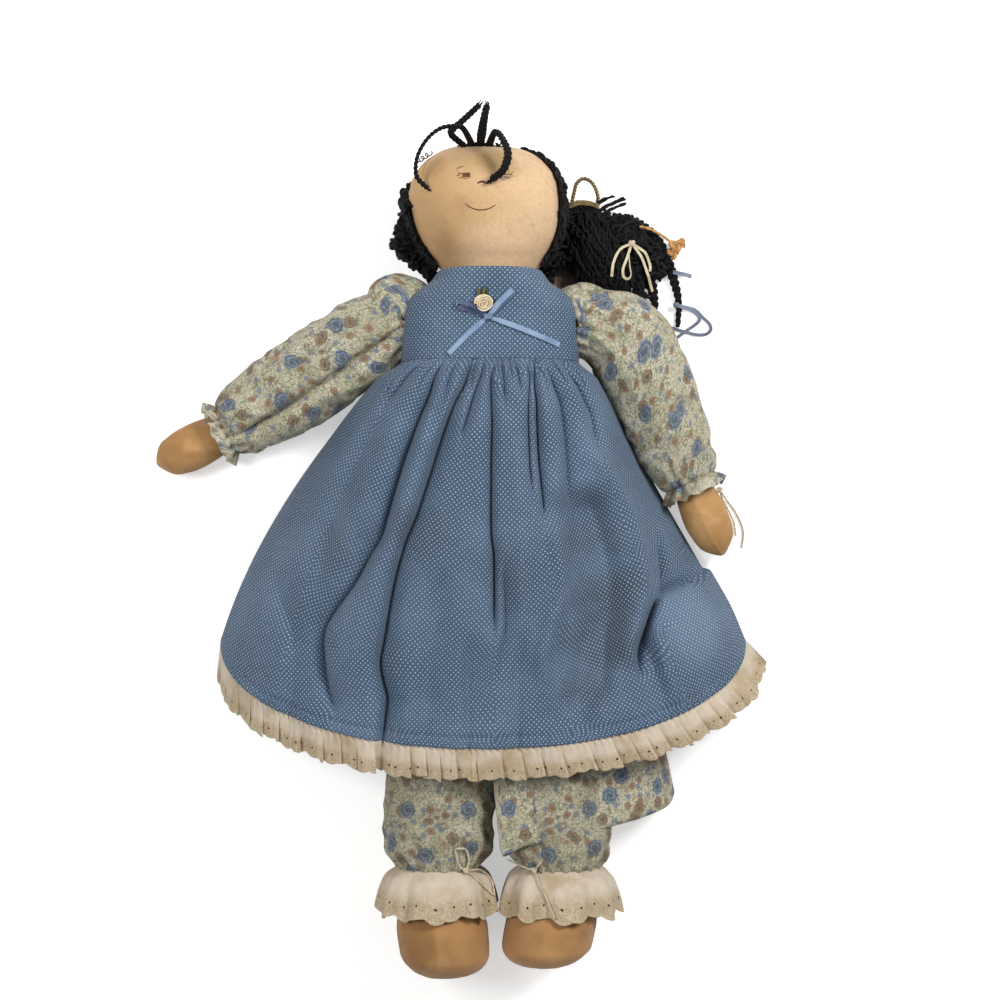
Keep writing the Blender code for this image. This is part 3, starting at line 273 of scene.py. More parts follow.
def floral_material(name, scale=1.0, stain_and_painted_light=0.0):
    """Cream calico, thick with small scribbled leaves, blue roses and brown flowers."""
    r = Recipe(name, 0.85, 0.1)
    wobble = r.node("ShaderNodeTexNoise", {"Vector": r.cloth_map, "Scale": 260.0, "Detail": 2.0})
    shift = r.vector("SCALE", r.vector("SUBTRACT", wobble.outputs["Color"], (0.5, 0.5, 0.5)),
                     scale=0.0034)
    at = r.vector("ADD", r.cloth_map, shift)
    at = r.vector("MULTIPLY", at, (1 / scale, 1 / scale, 0))
    calm = r.vector("ADD", r.cloth_map, r.vector("SCALE", shift, scale=0.30))
    calm = r.vector("MULTIPLY", calm, (1 / scale, 1 / scale, 0))
    ground = r.noise(at, 30, 2)
    paint = r.mix(r.ramp(ground, 0.3, 0.7), (208, 202, 180), (190, 184, 157))
    leaves = r.noise(at, 210, 2, 0.5, 1.2)
    paint = r.mix(r.ramp(leaves, 0.54, 0.60, 0, 0.65), paint, (152, 156, 128))
    dark = r.noise(r.vector("ADD", at, (0.3, 0.1, 0)), 170, 2, 0.6, 1.6)
    paint = r.mix(r.ramp(dark, 0.60, 0.64, 0, 0.7), paint, (104, 110, 88))
    blush = r.noise(r.vector("ADD", at, (0.7, 0.4, 0)), 120, 2, 0.5, 0.8)
    paint = r.mix(r.ramp(blush, 0.62, 0.68, 0, 0.6), paint, (170, 134, 110))
    lines = r.cells(at, 330, "DISTANCE_TO_EDGE").outputs["Distance"]
    paint = r.mix(r.ramp(lines, 0.03, 0.10, 0.55, 0), paint, (78, 72, 52))
    curls = r.noise(r.vector("ADD", at, (0.2, 0.8, 0)), 300, 1, 0.5, 2.5)
    thin = r.sum("ABSOLUTE", r.sum("SUBTRACT", curls, 0.5))
    paint = r.mix(r.ramp(thin, 0.010, 0.028, 0.8, 0), paint, (74, 68, 50))
    kinds = [
        (0.0085, 0.0020, 5.0, 0.45, (0.13, 0.57, 0), (106, 116, 132), (160, 166, 170), (76, 82, 98)),
        (0.0110, 0.0027, 5.0, 0.50, (0.71, 0.23, 0), (130, 98, 75), (172, 146, 120), (86, 62, 48)),
        (0.0190, 0.0042, 6.0, 0.50, (0.43, 0.91, 0), (112, 92, 74), (152, 132, 110), (76, 60, 48)),
        (0.0235, 0.0058, 7.0, 0.72, (0.29, 0.37, 0), (70, 88, 112), (136, 150, 166), (48, 60, 82)),
    ]
    for spacing, size, petals, keep, seed, body, pale, heart_paint in kinds:
        whole, rings, heart = flower(r, calm, spacing, size, petals, keep, seed)
        inner = r.mix(r.sum("MULTIPLY", rings, 0.75), body, pale)
        inner = r.mix(r.sum("MULTIPLY", heart, 0.8), inner, heart_paint)
        paint = r.mix(r.sum("MULTIPLY", whole, 0.86), paint, inner)
    fine = r.noise(r.cloth_map, 1500, 2, 0.6)
    paint = r.mix(r.ramp(fine, 0.35, 0.8, 0, 0.22), paint, (110, 104, 82))
    # Painted shade: a mottled darker brown, as strong as the last argument asks; only the
    # pantaloons' copy has any, for the shade under the skirt.
    painted_shade_mottle = r.noise(r.place, 28, 3, 0.6)
    paint = r.mix(r.ramp(painted_shade_mottle, 0.35, 0.65, stain_and_painted_light * 0.6, stain_and_painted_light), paint, (84, 76, 50))
    return r.finish(paint, r.weave(0.0005), 0.3, 0.00018)


def lace_material(width, pitch):
    """Eyelet lace: plain cotton with an embroidered, pierced edge whose holes are painted dark as
    painted shade. The map is in metres.
    """
    r = Recipe(f"eyelet_lace_look_{round(width * 10000)}", 0.8, 0.15)
    parts = r.node("ShaderNodeSeparateXYZ", {0: r.cloth_map})
    along = r.sum("DIVIDE", parts.outputs[0], pitch)
    out = r.sum("DIVIDE", parts.outputs[1], width)
    cell = r.sum("SUBTRACT", r.sum("FRACT", along), 0.5)
    aside = r.sum("MULTIPLY", cell, pitch)
    wide = r.noise(r.place, 45, 3, 0.6)
    paint = r.mix(r.ramp(wide, 0.42, 0.76), (208, 194, 175), (178, 156, 124))
    pink = r.noise(r.place, 90, 2, 0.6)
    paint = r.mix(r.ramp(pink, 0.6, 0.8, 0, 0.5), paint, (214, 196, 182))
    vines = r.noise(r.cloth_map, 420, 2, 0.5, 1.5)
    thread = r.ramp(r.sum("ABSOLUTE", r.sum("SUBTRACT", vines, 0.5)), 0.012, 0.04, 1, 0)
    edge = r.ramp(out, 0.42, 0.74)
    paint = r.mix(r.sum("MULTIPLY", edge, 0.55), paint, (190, 170, 134))
    worked = r.sum("MULTIPLY", thread, edge)
    paint = r.mix(r.sum("MULTIPLY", worked, 0.75), paint, (152, 124, 86))
    drop = r.sum("MULTIPLY", r.sum("SUBTRACT", out, 0.74), width)
    reach = r.sum("SQRT", r.sum("ADD", r.sum("POWER", aside, 2.0), r.sum("POWER", drop, 2.0)))
    # Painted shade: the eyelets are not cut through; each hole is painted dark brown for the shade
    # seen through it.
    hole = r.ramp(reach, 0.00055, 0.00075, 1, 0)
    rim = r.sum("SUBTRACT", r.ramp(reach, 0.0013, 0.0017, 1, 0), hole)
    paint = r.mix(r.sum("MULTIPLY", rim, 0.45), paint, (196, 172, 134))
    paint = r.mix(hole, paint, (52, 40, 34))
    border = r.ramp(out, 0.93, 0.985)
    paint = r.mix(r.sum("MULTIPLY", border, 0.6), paint, (216, 196, 160))
    height = r.sum("ADD", r.sum("MULTIPLY", worked, 0.8), r.sum("SUBTRACT", rim, hole))
    height = r.sum("ADD", height, r.sum("MULTIPLY", r.weave(0.00045), 0.3))
    return r.finish(paint, height, 0.6, 0.0003)


def yarn_material(name, first, second, sheen=0.1):
    """Twisted yarn; the map runs along it and round it, in metres."""
    r = Recipe(name, 0.75, sheen)
    parts = r.node("ShaderNodeSeparateXYZ", {0: r.cloth_map})
    twist = r.sum("MULTIPLY_ADD", parts.outputs[0], 2 * pi / 0.0016,
                  r.sum("MULTIPLY", parts.outputs[1], 2 * pi / 0.0012))
    ply = r.sum("MULTIPLY_ADD", r.sum("SINE", twist), 0.5, 0.5)
    patchy = r.noise(r.place, 160, 3, 0.6)
    paint = r.mix(r.ramp(patchy, 0.35, 0.75), first, second)
    paint = r.mix(r.sum("MULTIPLY", ply, 0.35), paint, second)
    fuzz = r.noise(r.place, 2600, 2, 0.7)
    return r.finish(paint, r.sum("MULTIPLY_ADD", fuzz, 0.7, ply), 0.5, 0.00025)


def ribbon_material(name, face, edge, width=0.0031):
    """Satin ribbon with fine cross ribs and firm edges; the map runs along and across it."""
    r = Recipe(name, 0.45, 0.2)
    parts = r.node("ShaderNodeSeparateXYZ", {0: r.cloth_map})
    rib = r.sum("SINE", r.sum("MULTIPLY", parts.outputs[1], 2 * pi / 0.0004))
    rim = r.ramp(r.sum("ABSOLUTE", parts.outputs[1]), width * 0.38, width * 0.46)
    wide = r.noise(r.place, 60, 2)
    paint = r.mix(r.ramp(wide, 0.35, 0.7), face, edge)
    paint = r.mix(r.sum("MULTIPLY", rim, 0.6), paint, edge)
    height = r.sum("MULTIPLY_ADD", rib, 0.3, rim)
    return r.finish(paint, height, 0.3, 0.0001)


def plain_material(name, paint, second, scale=400.0, roughness=0.8):
    """A small even surface with a little variation."""
    r = Recipe(name, roughness, 0.1)
    spots = r.noise(r.place, scale, 2, 0.6)
    return r.finish(r.mix(r.ramp(spots, 0.3, 0.75), paint, second), spots, 0.3, 0.0001)


# Meshes
def piece(name, points, faces, look, uv=None):
    """A smooth mesh object from points and faces, with its map given corner by corner."""
    mesh = bpy.data.meshes.new(name)
    mesh.from_pydata(np.asarray(points, float).reshape(-1, 3).tolist(), [], faces)
    if uv is not None:
        layer_made = mesh.uv_layers.new(name="UVMap")
        layer_made.data.foreach_set("uv", np.asarray(uv, float).ravel())
    mesh.materials.append(look)
    mesh.shade_smooth()
    made = bpy.data.objects.new(name, mesh)
    bpy.context.scene.collection.objects.link(made)
    return made


def grid_faces(rows, columns, closed, start=0):
    """Quads of a grid of points, row by row, with each corner's row and column."""
    last = columns if closed else columns - 1
    faces = []
    corners = []
    for i in range(rows - 1):
        for j in range(last):
            k = (j + 1) % columns
            faces.append(
                (start + i * columns + j, start + i * columns + k,
                 start + (i + 1) * columns + k, start + (i + 1) * columns + j)
            )
            corners += [(i, j), (i, j + 1), (i + 1, j + 1), (i + 1, j)]
    return faces, corners


def girth_map(rows, closed):
    """A map in metres: round each row from its first point, and along the rows' middle."""
    wrapped = np.concatenate([rows, rows[:, :1]], axis=1) if closed else rows
    steps = np.linalg.norm(np.diff(wrapped, axis=1), axis=2)
    across = np.concatenate([np.zeros((len(rows), 1)), np.cumsum(steps, axis=1)], axis=1)
    middle = across[:, -1:] / 2
    centres = rows.mean(axis=1)
    down = np.concatenate([[0], np.cumsum(np.linalg.norm(np.diff(centres, axis=0), axis=1))])
    return np.stack([across - middle, np.broadcast_to(down[:, None], across.shape)], axis=2)


def line_map(rows, ring):
    """A map in metres that follows each line down the skin, so that a bend keeps its print."""
    flat = girth_map(rows, True)
    steps = np.linalg.norm(np.diff(rows, axis=0), axis=2)
    down = np.concatenate([np.zeros((1, rows.shape[1])), np.cumsum(steps, axis=0)])
    down = down - down[ring] + flat[ring, 0, 1]
    flat[:, :, 1] = np.concatenate([down, down[:, :1]], axis=1)
    return flat


def loft(name, rows, look, closed=True, caps=(False, False), uv=None):
    """A skin through rows of points, closed at an end by a fan where asked."""
    rows = np.asarray(rows, float)
    count, columns = rows.shape[:2]
    if uv is None:
        uv = girth_map(rows, closed)
    faces, corners = grid_faces(count, columns, closed)
    points = rows.reshape(-1, 3).tolist()
    flat_uv = [tuple(uv[i, j]) for i, j in corners]
    for end, wanted in zip((0, count - 1), caps):
        if not wanted:
            continue
        points.append(rows[end].mean(axis=0).tolist())
        middle_uv = uv[end].mean(axis=0)
        for j in range(columns):
            k = (j + 1) % columns
            faces.append((end * columns + k, end * columns + j, len(points) - 1))
            flat_uv += [tuple(uv[end, j + 1]), tuple(uv[end, j]), tuple(middle_uv)]
    made = piece(name, points, faces, look, flat_uv)
    turn_outwards(made)
    return made


def turn_outwards(made):
    sides = bmesh.new()
    sides.from_mesh(made.data)
    bmesh.ops.recalc_face_normals(sides, faces=sides.faces)
    sides.to_mesh(made.data)
    sides.free()


def settle(made):
    """Applies a piece's modifiers to its mesh."""
    graph = bpy.context.evaluated_depsgraph_get()
    mesh = bpy.data.meshes.new_from_object(made.evaluated_get(graph))
    made.modifiers.clear()
    old = made.data
    made.data = mesh
    mesh.name = old.name
    bpy.data.meshes.remove(old)
    return made


def thicken(made, thick=0.0008, offset=-1.0):
    step = made.modifiers.new("thickness", "SOLIDIFY")
    step.thickness = thick
    step.offset = offset
    return settle(made)


def cut(made, cutter):
    step = made.modifiers.new("cut", "BOOLEAN")
    step.operation = "DIFFERENCE"
    step.solver = "EXACT"
    step.object = cutter
    settle(made)
    bpy.data.objects.remove(cutter, do_unlink=True)
    return made


def skin_of(made):
    """The faces of a finished piece, to lay others on."""
    bpy.context.view_layer.update()
    return BVHTree.FromObject(made, bpy.context.evaluated_depsgraph_get())


def node_skin(name):
    """The faces of a CAD node."""
    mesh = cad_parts[name].data
    points = [tuple(v.co) for v in mesh.vertices]
    return BVHTree.FromPolygons(points, [tuple(f.vertices) for f in mesh.polygons])


def dress(made, body, slot, *nodes):
    """Says which body a piece rides on and hides the CAD nodes that it stands for; its finish (slot)
    is not used.
    """
    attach(made, body)
    if nodes:
        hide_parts(*nodes)
    return made


# Tables read smoothly
def read(table, at):
    """Smooth values of a table of (place, value...) rows at some places, with no overshoot."""
    table = np.asarray(table, float)
    at = np.asarray(at, float)
    place, value = table[:, 0], table[:, 1:]
    step = np.diff(place)[:, None]
    slope = np.diff(value, axis=0) / step
    both = slope[:-1] * slope[1:]
    total = slope[:-1] + slope[1:]
    tangent = np.zeros_like(value)
    safe = np.where(np.abs(total) > 1e-12, total, 1)
    tangent[1:-1] = np.where(both > 0, 2 * both / safe, 0)
    tangent[0], tangent[-1] = slope[0], slope[-1]
    at = np.clip(at, place[0], place[-1])
    k = np.clip(np.searchsorted(place, at) - 1, 0, len(place) - 2)
    wide = (place[k + 1] - place[k])[..., None]
    t = (at - place[k])[..., None] / wide
    return (
        (2 * t**3 - 3 * t**2 + 1) * value[k]
        + (t**3 - 2 * t**2 + t) * wide * tangent[k]
        + (-2 * t**3 + 3 * t**2) * value[k + 1]
        + (t**3 - t**2) * wide * tangent[k + 1]
    )


def ease(value, low, high):
    t = np.clip((np.asarray(value, float) - low) / (high - low), 0, 1)
    return t * t * (3 - 2 * t)


def smooth_route(points, step):
    """Points an even step apart along a smooth curve through the given ones."""
    points = np.asarray(points, float)
    reach = np.concatenate([[0], np.cumsum(np.linalg.norm(np.diff(points, axis=0), axis=1))])
    fine = np.linspace(0, reach[-1], 12 * len(points))
    padded = np.vstack([2 * points[0] - points[1], points, 2 * points[-1] - points[-2]])
    k = np.clip(np.searchsorted(reach, fine) - 1, 0, len(points) - 2)
    t = ((fine - reach[k]) / (reach[k + 1] - reach[k]))[:, None]
    a, b, c, d = padded[k], padded[k + 1], padded[k + 2], padded[k + 3]
    line = (
        2 * b + (c - a) * t + (2 * a - 5 * b + 4 * c - d) * t**2 + (3 * b - a - 3 * c + d) * t**3
    ) / 2
    reach = np.concatenate([[0], np.cumsum(np.linalg.norm(np.diff(line, axis=0), axis=1))])
    count = max(4, round(reach[-1] / step) + 1)
    even = np.linspace(0, reach[-1], count)
    return np.stack([np.interp(even, reach, line[:, n]) for n in range(3)], axis=1)


def crumple(points, size, seed, kind="soft"):
    """A noise for each point, about -1 to 1, whose features are that large."""
    points = np.asarray(points, float)
    flat = points.reshape(-1, 3) / size + seed * 17.3
    if kind == "soft":
        values = [noise.noise(Vector(p)) for p in flat]
    else:
        values = [1 - 2 * abs(noise.noise(Vector(p))) for p in flat]
    return np.array(values).reshape(points.shape[:-1])


def normals_of(rows, closed):
    """Outward directions at the points of a grid whose rows run round a body."""
    if closed:
        across = np.roll(rows, -1, axis=1) - np.roll(rows, 1, axis=1)
    else:
        across = np.gradient(rows, axis=1)
    along = np.gradient(rows, axis=0)
    way = np.cross(across, along)
    way /= np.linalg.norm(way, axis=2, keepdims=True) + 1e-12
    out = rows - rows.mean(axis=1, keepdims=True)
    side = np.sign((way * out).sum())
    return way * side


# Sections of the body, as in the part's source
def oval(y, middle_x, middle_z, half, height, count, floor=0.0, power=2.2):
    turn = np.linspace(0, 2 * pi, count, endpoint=False)
    c, s = np.cos(turn), np.sin(turn)
    x = middle_x + half * np.sign(c) * np.abs(c) ** (2 / power)
    z = middle_z + height * np.sign(s) * np.abs(s) ** (2 / power)
    return np.stack([x, np.full(count, y), np.maximum(z, floor)], axis=1)


def ovals(table, count, rows, floor=0.0, power=2.2):
    """Rows of ovals through a table of (y, middle, height of middle, half, half height)."""
    table = np.asarray(table, float)
    places = np.arange(len(table))
    dense = read(np.column_stack([places, table]), np.linspace(0, len(table) - 1, rows))
    return np.stack([oval(*row, count, floor, power) for row in dense])


def bulge(share, power=2.6):
    return np.maximum(0, 1 - np.abs(share) ** power) ** (1 / power)


bodice_table = [
    (0.00, 1.00, 0.990, 0.00), (0.29, 1.00, 1.000, 0.00), (0.52, 0.99, 1.000, 0.00),
    (0.69, 0.92, 1.000, 0.10), (0.79, 0.81, 1.000, 0.40), (0.88, 0.68, 1.000, 0.70),
    (1.00, 0.59, 1.000, 1.00),
]


def around(count, back):
    """Shares across the front and back again, crowding towards the edges."""
    front = np.sin(np.linspace(-pi / 2, pi / 2, count))
    rear = np.sin(np.linspace(pi / 2, -pi / 2, back))[1:-1]
    return front, rear


def body_rows(places, inset, count=121, back=61):
    """Rings of the clothed chest, drawn in by the layers outside it."""
    front, rear = around(count, back)
    rows = []
    for y in places:
        width, top, rise = read(bodice_table, (y - waist_y) / (neckline_y - waist_y))
        half = chest_width / 2 * width - inset
        high = chest_height * top + 0.0015 * rise - inset
        low = (pressed + 0.008) * rise - pressed + inset
        upper = side_height + (high - side_height) * bulge(front)
        lower = np.maximum(side_height - (side_height - low) * bulge(rear), inset)
        x = half * np.concatenate([front, rear])
        rows.append(np.stack([x, np.full(len(x), y), np.concatenate([upper, lower])], axis=1))
    return np.array(rows)


def hip_wedge(distance, inset):
    return min(0.7 * distance, 0.034) + inset


def torso_rows(places, inset, count=61, back=61):
    """Rings of the stuffed torso under the waist."""
    front, rear = around(count, back)
    rows = []
    top = chest_height * 0.99 - 2 * layer
    for y in places:
        distance = y - hip_y
        share = distance / (waist_y - hip_y)
        high = min(hip_z + hip_wedge(distance, inset), top + inset)
        low = max(hip_z - hip_wedge(distance, inset), 3 * layer - inset)
        waist_half = chest_width / 2 - 2 * layer
        half = 0.048 + (waist_half - 0.048) * share + inset
        middle = low + (high - low) * (side_height - 2 * layer) / (top - 2 * layer)
        z = np.concatenate(
            [middle + (high - middle) * bulge(front), middle - (middle - low) * bulge(rear)]
        )
        x = half * np.concatenate([front, rear])
        rows.append(np.stack([x, np.full(len(x), y), z], axis=1))
    return np.array(rows)


def sideways_cylinder(radius):
    turn = np.linspace(0, 2 * pi, 96, endpoint=False)
    rows = [
        np.stack([np.full(96, x), shoulder_y + radius * np.cos(turn),
                  shoulder_z + radius * np.sin(turn)], axis=1)
        for x in (-chest_width, chest_width)
    ]
    return loft("armhole_cutter", rows, looks["dotted"], caps=(True, True))


# The chest: stuffing, the dress under the pinafore, and the pinafore's bodice
def make_chest():
    stuffed = np.concatenate([
        torso_rows(hip_y + (waist_y - hip_y) * np.linspace(0.005, 0.97, 40), 0),
        body_rows(np.linspace(waist_y, torso_top_y, 20), 2 * layer, 61, 61),
    ])
    torso = loft("stuffed_torso", stuffed, looks["muslin"], caps=(True, False))
    dress(torso, "torso", "muslin", "torso")

    under = loft(
        "dress_bodice_cloth",
        body_rows(np.linspace(waist_y, torso_top_y, 30), layer + 0.0002), looks["floral"],
    )
    thicken(under)
    cut(under, sideways_cylinder(arm_root_radius + gap))
    dress(under, "torso", "floral_cotton", "dress_bodice")

    places = np.concatenate([
        np.linspace(waist_y - 0.0006, neckline_y - 0.002, 64),
        neckline_y - 0.002 * np.array([0.66, 0.33, 0.0]),
    ])
    rows = body_rows(places, 0, 181, 91)
    front = 181
    share = rows[:, :, 0] / (chest_width / 2)
    down = (rows[:, :, 1] - waist_y) / (neckline_y - waist_y)
    facing = np.zeros(rows.shape[:2])
    facing[:, :front] = 1
    wave = crumple(rows, 0.030, 3) * 0.0011 + crumple(rows, 0.012, 4) * 0.0004
    pull = crumple(rows * np.array([1, 0.35, 1]), 0.009, 5, "crease")
    near_waist = ease(down, 0.35, 0.0)
    wave += pull * near_waist * 0.0005
    neck = ease(down, 0.86, 1.0)
    wave += np.sin(rows[:, :, 0] * 2 * pi / 0.0085 + 3 * share) * neck * 0.00025
    rows[:, :, 2] += wave * facing * bulge(share * 0.98)
    rim = ease(down, 0.955, 1.0)
    rows[:, :, 2] -= rim * facing * 0.0012 * bulge(share)
    made = loft("pinafore_bodice_cloth", rows, looks["dotted"], uv=bodice_map(rows, front))
    thicken(made, 0.0009)
    cut(made, sideways_cylinder(0.0195))
    dress(made, "torso", "dotted_cotton", "pinafore_bodice")
    return made


def bodice_map(rows, front):
    """Round each row from the middle of the front, and along the front's middle line."""
    wrapped = np.concatenate([rows, rows[:, :1]], axis=1)
    steps = np.linalg.norm(np.diff(wrapped, axis=1), axis=2)
    across = np.concatenate([np.zeros((len(rows), 1)), np.cumsum(steps, axis=1)], axis=1)
    across -= across[:, front // 2:front // 2 + 1]
    down = np.broadcast_to(rows[:, :1, 1], across.shape)
    return np.stack([across, down], axis=2)


# Skirts
class Skirt:
    """A gathered skirt lying flat. Along runs from waist to hem and share across it."""

    def __init__(self, width, middle, corner, bow, edge, rise, top, inset, drop=None):
        self.width = width
        self.middle = middle
        self.corner = corner
        self.bow = bow
        self.edge = edge
        self.rise = rise
        self.top = top
        self.inset = inset
        self.drop = drop or (lambda share: 0 * share)

    def half(self, along):
        waist = chest_width / 2 + (0.062 - chest_width / 2) * ease(along, 0, 0.06) - self.inset
        return waist + (self.width / 2 - self.inset - waist) * along

    def plan(self, along, share):
        x = self.half(along) * share + self.middle * along
        x = x + 0.015 * 4 * along * (1 - along) * np.minimum(share, 0)
        hem = self.corner - self.bow * np.sqrt(np.maximum(0, 1 - share**2)) + self.drop(share)
        start = waist_y - gap
        return x, start + (hem - start) * along

    def height(self, along, share, front):
        first = chest_height * 0.99 - self.inset
        rows = [
            (0, side_height, first, 2.6),
            (0.09, side_height * 0.92, self.rise, 2.5),
            (0.3, self.edge * 1.6, self.rise, 1.9),
            (0.6, self.edge, (self.rise + self.top) / 2, 1.7),
            (0.8, self.edge, self.top + (self.rise - self.top) * 0.1, 1.75),
            (1, self.edge, self.top, 1.75),
        ]
        edge, top, power = np.moveaxis(read(rows, along), -1, 0)
        round_share = (1 - np.minimum(1, np.abs(share)) ** 2.6) ** (1 / power)
        if front:
            return edge + (top - edge) * round_share
        low = self.inset - pressed
        return np.maximum(edge - (edge - low) * round_share, self.inset)

    def rows(self, stations, count, back):
        """Front and back of the skirt, ring by ring."""
        front, rear = around(count, back)
        rings = []
        for along in stations:
            parts = []
            for shares, is_front in ((front, True), (rear, False)):
                x, y = self.plan(along, shares)
                z = self.height(np.full(len(shares), along), shares, is_front)
                parts.append(np.stack([x, y + 0 * x, z], axis=1))
            rings.append(np.concatenate(parts))
        return np.array(rings), front


def under_hem_drop(share):
    """The dress's hem shows at the doll's left only, where it ends in a square corner."""
    plain = -0.250 - 0.0540 * np.sqrt(np.maximum(0, 1 - share**2))
    tucked = -0.085 * ease(share, -0.10, 0.0) + 0.060
    square = -0.3255 + 0.022 * share + 0.007 * np.abs(share) ** 40 - plain
    return tucked + (square - tucked) * ease(share, 0.0, 0.12)


pinafore = Skirt(0.339, -0.0050, -0.199, 0.0610, 0.0090, 0.0800, 0.0705, 0)
dress_skirt = Skirt(
    0.226, 0.0080, -0.250, 0.0540, 0.0070, 0.0735, 0.0600, layer,
    lambda share: under_hem_drop(share),
)

# Long folds: places as (along, share), depth in mm, widths left and right in mm, where it
# starts and ends, and how sharp it is: 1 for a crease, 2 for a soft hollow
long_folds = [
    ([(0.0, -0.72), (0.034, -0.726), (0.065, -0.733), (0.126, -0.771)], 12, 2.6, 5, 0.0, 0.20, 1.2),
    ([(0.0, -0.49), (0.034, -0.477), (0.089, -0.459), (0.159, -0.477), (0.211, -0.481),
      (0.283, -0.489), (0.46, -0.492), (0.53, -0.525), (0.60, -0.557), (0.69, -0.617),
      (0.75, -0.641), (0.83, -0.615), (0.93, -0.55)], 14.0, 4.6, 2.6, 0.0, 1.0, 1.2),
    ([(0.0, -0.19), (0.027, -0.202), (0.062, -0.216), (0.112, -0.266), (0.178, -0.30),
      (0.278, -0.328), (0.41, -0.361), (0.48, -0.388), (0.60, -0.401), (0.71, -0.403),
      (0.79, -0.41), (0.89, -0.363)], 15.0, 2.2, 6.0, 0.0, 1.1, 1.15),
    ([(0.0, 0.08), (0.018, 0.064), (0.054, 0.021), (0.118, 0.029), (0.168, 0.036),
      (0.274, 0.032), (0.44, 0.033), (0.50, 0.049)], 10.5, 3.2, 2.0, 0.0, 0.76, 1.2),
    ([(0.0, 0.46), (0.015, 0.45), (0.062, 0.394), (0.113, 0.385), (0.171, 0.364),
      (0.278, 0.339), (0.40, 0.33)], 13.0, 1.8, 2.8, 0.0, 0.46, 1.15),
    ([(0.0, 0.60), (0.027, 0.562), (0.064, 0.554), (0.117, 0.573), (0.191, 0.553),
      (0.284, 0.516), (0.36, 0.49)], 10.0, 3.0, 7.0, 0.0, 0.46, 1.4),
    ([(0.0, 0.80), (0.007, 0.786), (0.042, 0.742), (0.086, 0.767), (0.162, 0.789),
      (0.208, 0.766)], 10.0, 2.6, 5.0, 0.0, 0.34, 1.3),
    ([(0.0, 0.40), (0.011, 0.39), (0.037, 0.367), (0.17, 0.296), (0.277, 0.274)],
     7.0, 1.6, 2.6, 0.0, 0.42, 1.2),
    ([(0.0, -0.06), (0.033, -0.071), (0.076, -0.105), (0.119, -0.136), (0.201, -0.178)],
     11.0, 2.0, 3.6, 0.0, 0.27, 1.2),
    ([(0.0, -0.32), (0.058, -0.337), (0.128, -0.351), (0.172, -0.37)], 5.5, 4, 4, 0.02, 0.26, 1.4),
    ([(0.0, -0.735), (0.12, -0.744), (0.251, -0.758), (0.385, -0.755), (0.556, -0.727)],
     7.5, 8, 6, 0.16, 0.72, 1.6),
    ([(0.0, -0.90), (0.3, -0.93), (0.6, -0.93)], 4.0, 4.0, 6.0, 0.0, 0.7, 1.5),
    ([(0.56, 0.09), (0.665, 0.095), (0.80, 0.078)], 7.0, 2.2, 7.0, 0.52, 0.86, 1.1),
    ([(0.62, -0.20), (0.77, -0.21), (0.95, -0.22)], 4.6, 6, 9, 0.55, 1.1, 1.6),
    ([(0.70, -0.86), (0.80, -0.76), (0.95, -0.71)], 5.5, 5, 9, 0.62, 1.15, 1.3),
    ([(0.80, -0.06), (0.92, -0.055), (1.0, -0.05)], 4.6, 3, 6, 0.72, 1.25, 1.2),
    ([(0.74, 0.16), (0.86, 0.14), (1.0, 0.13)], 4.0, 6, 4, 0.70, 1.25, 1.3),
]
hollows = [
    ([(0.439, 0.600), (0.519, 0.600), (0.65, 0.565), (0.774, 0.49), (0.871, 0.43),
      (0.929, 0.36)], 16.0, 20, 10.0, 0.36, 1.02),
    ([(0.55, -0.62), (0.70, -0.70), (0.85, -0.66)], 5.0, 12, 10, 0.45, 1.0),
]
ridges = [
    ([(0.208, 0.751), (0.457, 0.822), (0.575, 0.801), (0.65, 0.755), (0.719, 0.683),
      (0.789, 0.617), (0.836, 0.606)], 9.5, 8, 2.0, 0.24, 0.90),
    ([(0.526, 0.383), (0.604, 0.375), (0.678, 0.311), (0.778, 0.249)], 6.0, 6, 5, 0.42, 0.9),
    ([(0.20, -0.41), (0.40, -0.43), (0.60, -0.49), (0.80, -0.51)], 3.6, 7, 6, 0.15, 0.95),
    ([(0.20, -0.62), (0.45, -0.66), (0.60, -0.72)], 3.2, 9, 9, 0.15, 0.75),
    ([(0.20, 0.18), (0.40, 0.19), (0.60, 0.17)], 3.0, 8, 6, 0.15, 0.75),
]
pocket_line = [
    (0.522, 0.905), (0.594, 0.862), (0.667, 0.815), (0.709, 0.752), (0.757, 0.692),
    (0.809, 0.640), (0.852, 0.622),
]
gathers = [
    -0.955, -0.87, -0.822, -0.645, -0.57, -0.415, -0.345, -0.145, 0.09, 0.13, 0.21, 0.265,
    0.50, 0.66, 0.835, 0.90, 0.96,
]


def fold_line(route, along):
    table = np.asarray(route, float)
    slope = (table[1, 1] - table[0, 1]) / (table[1, 0] - table[0, 0])
    inner = read(table, along)[..., 0]
    before = table[0, 1] + slope * (along - table[0, 0])
    return np.where(along < table[0, 0], before, inner)


def lean(distance, left, right, sharp=2.0):
    """A bump whose two sides have their own widths."""
    width = np.where(distance < 0, left, right)
    return np.exp(-((np.abs(distance) / width) ** sharp))


def faded(along, start, end):
    opened = ease(along, start - 0.03, start + 0.06) if start > 0 else 1.0
    return opened * (1 - ease(along, end - 0.16, end))


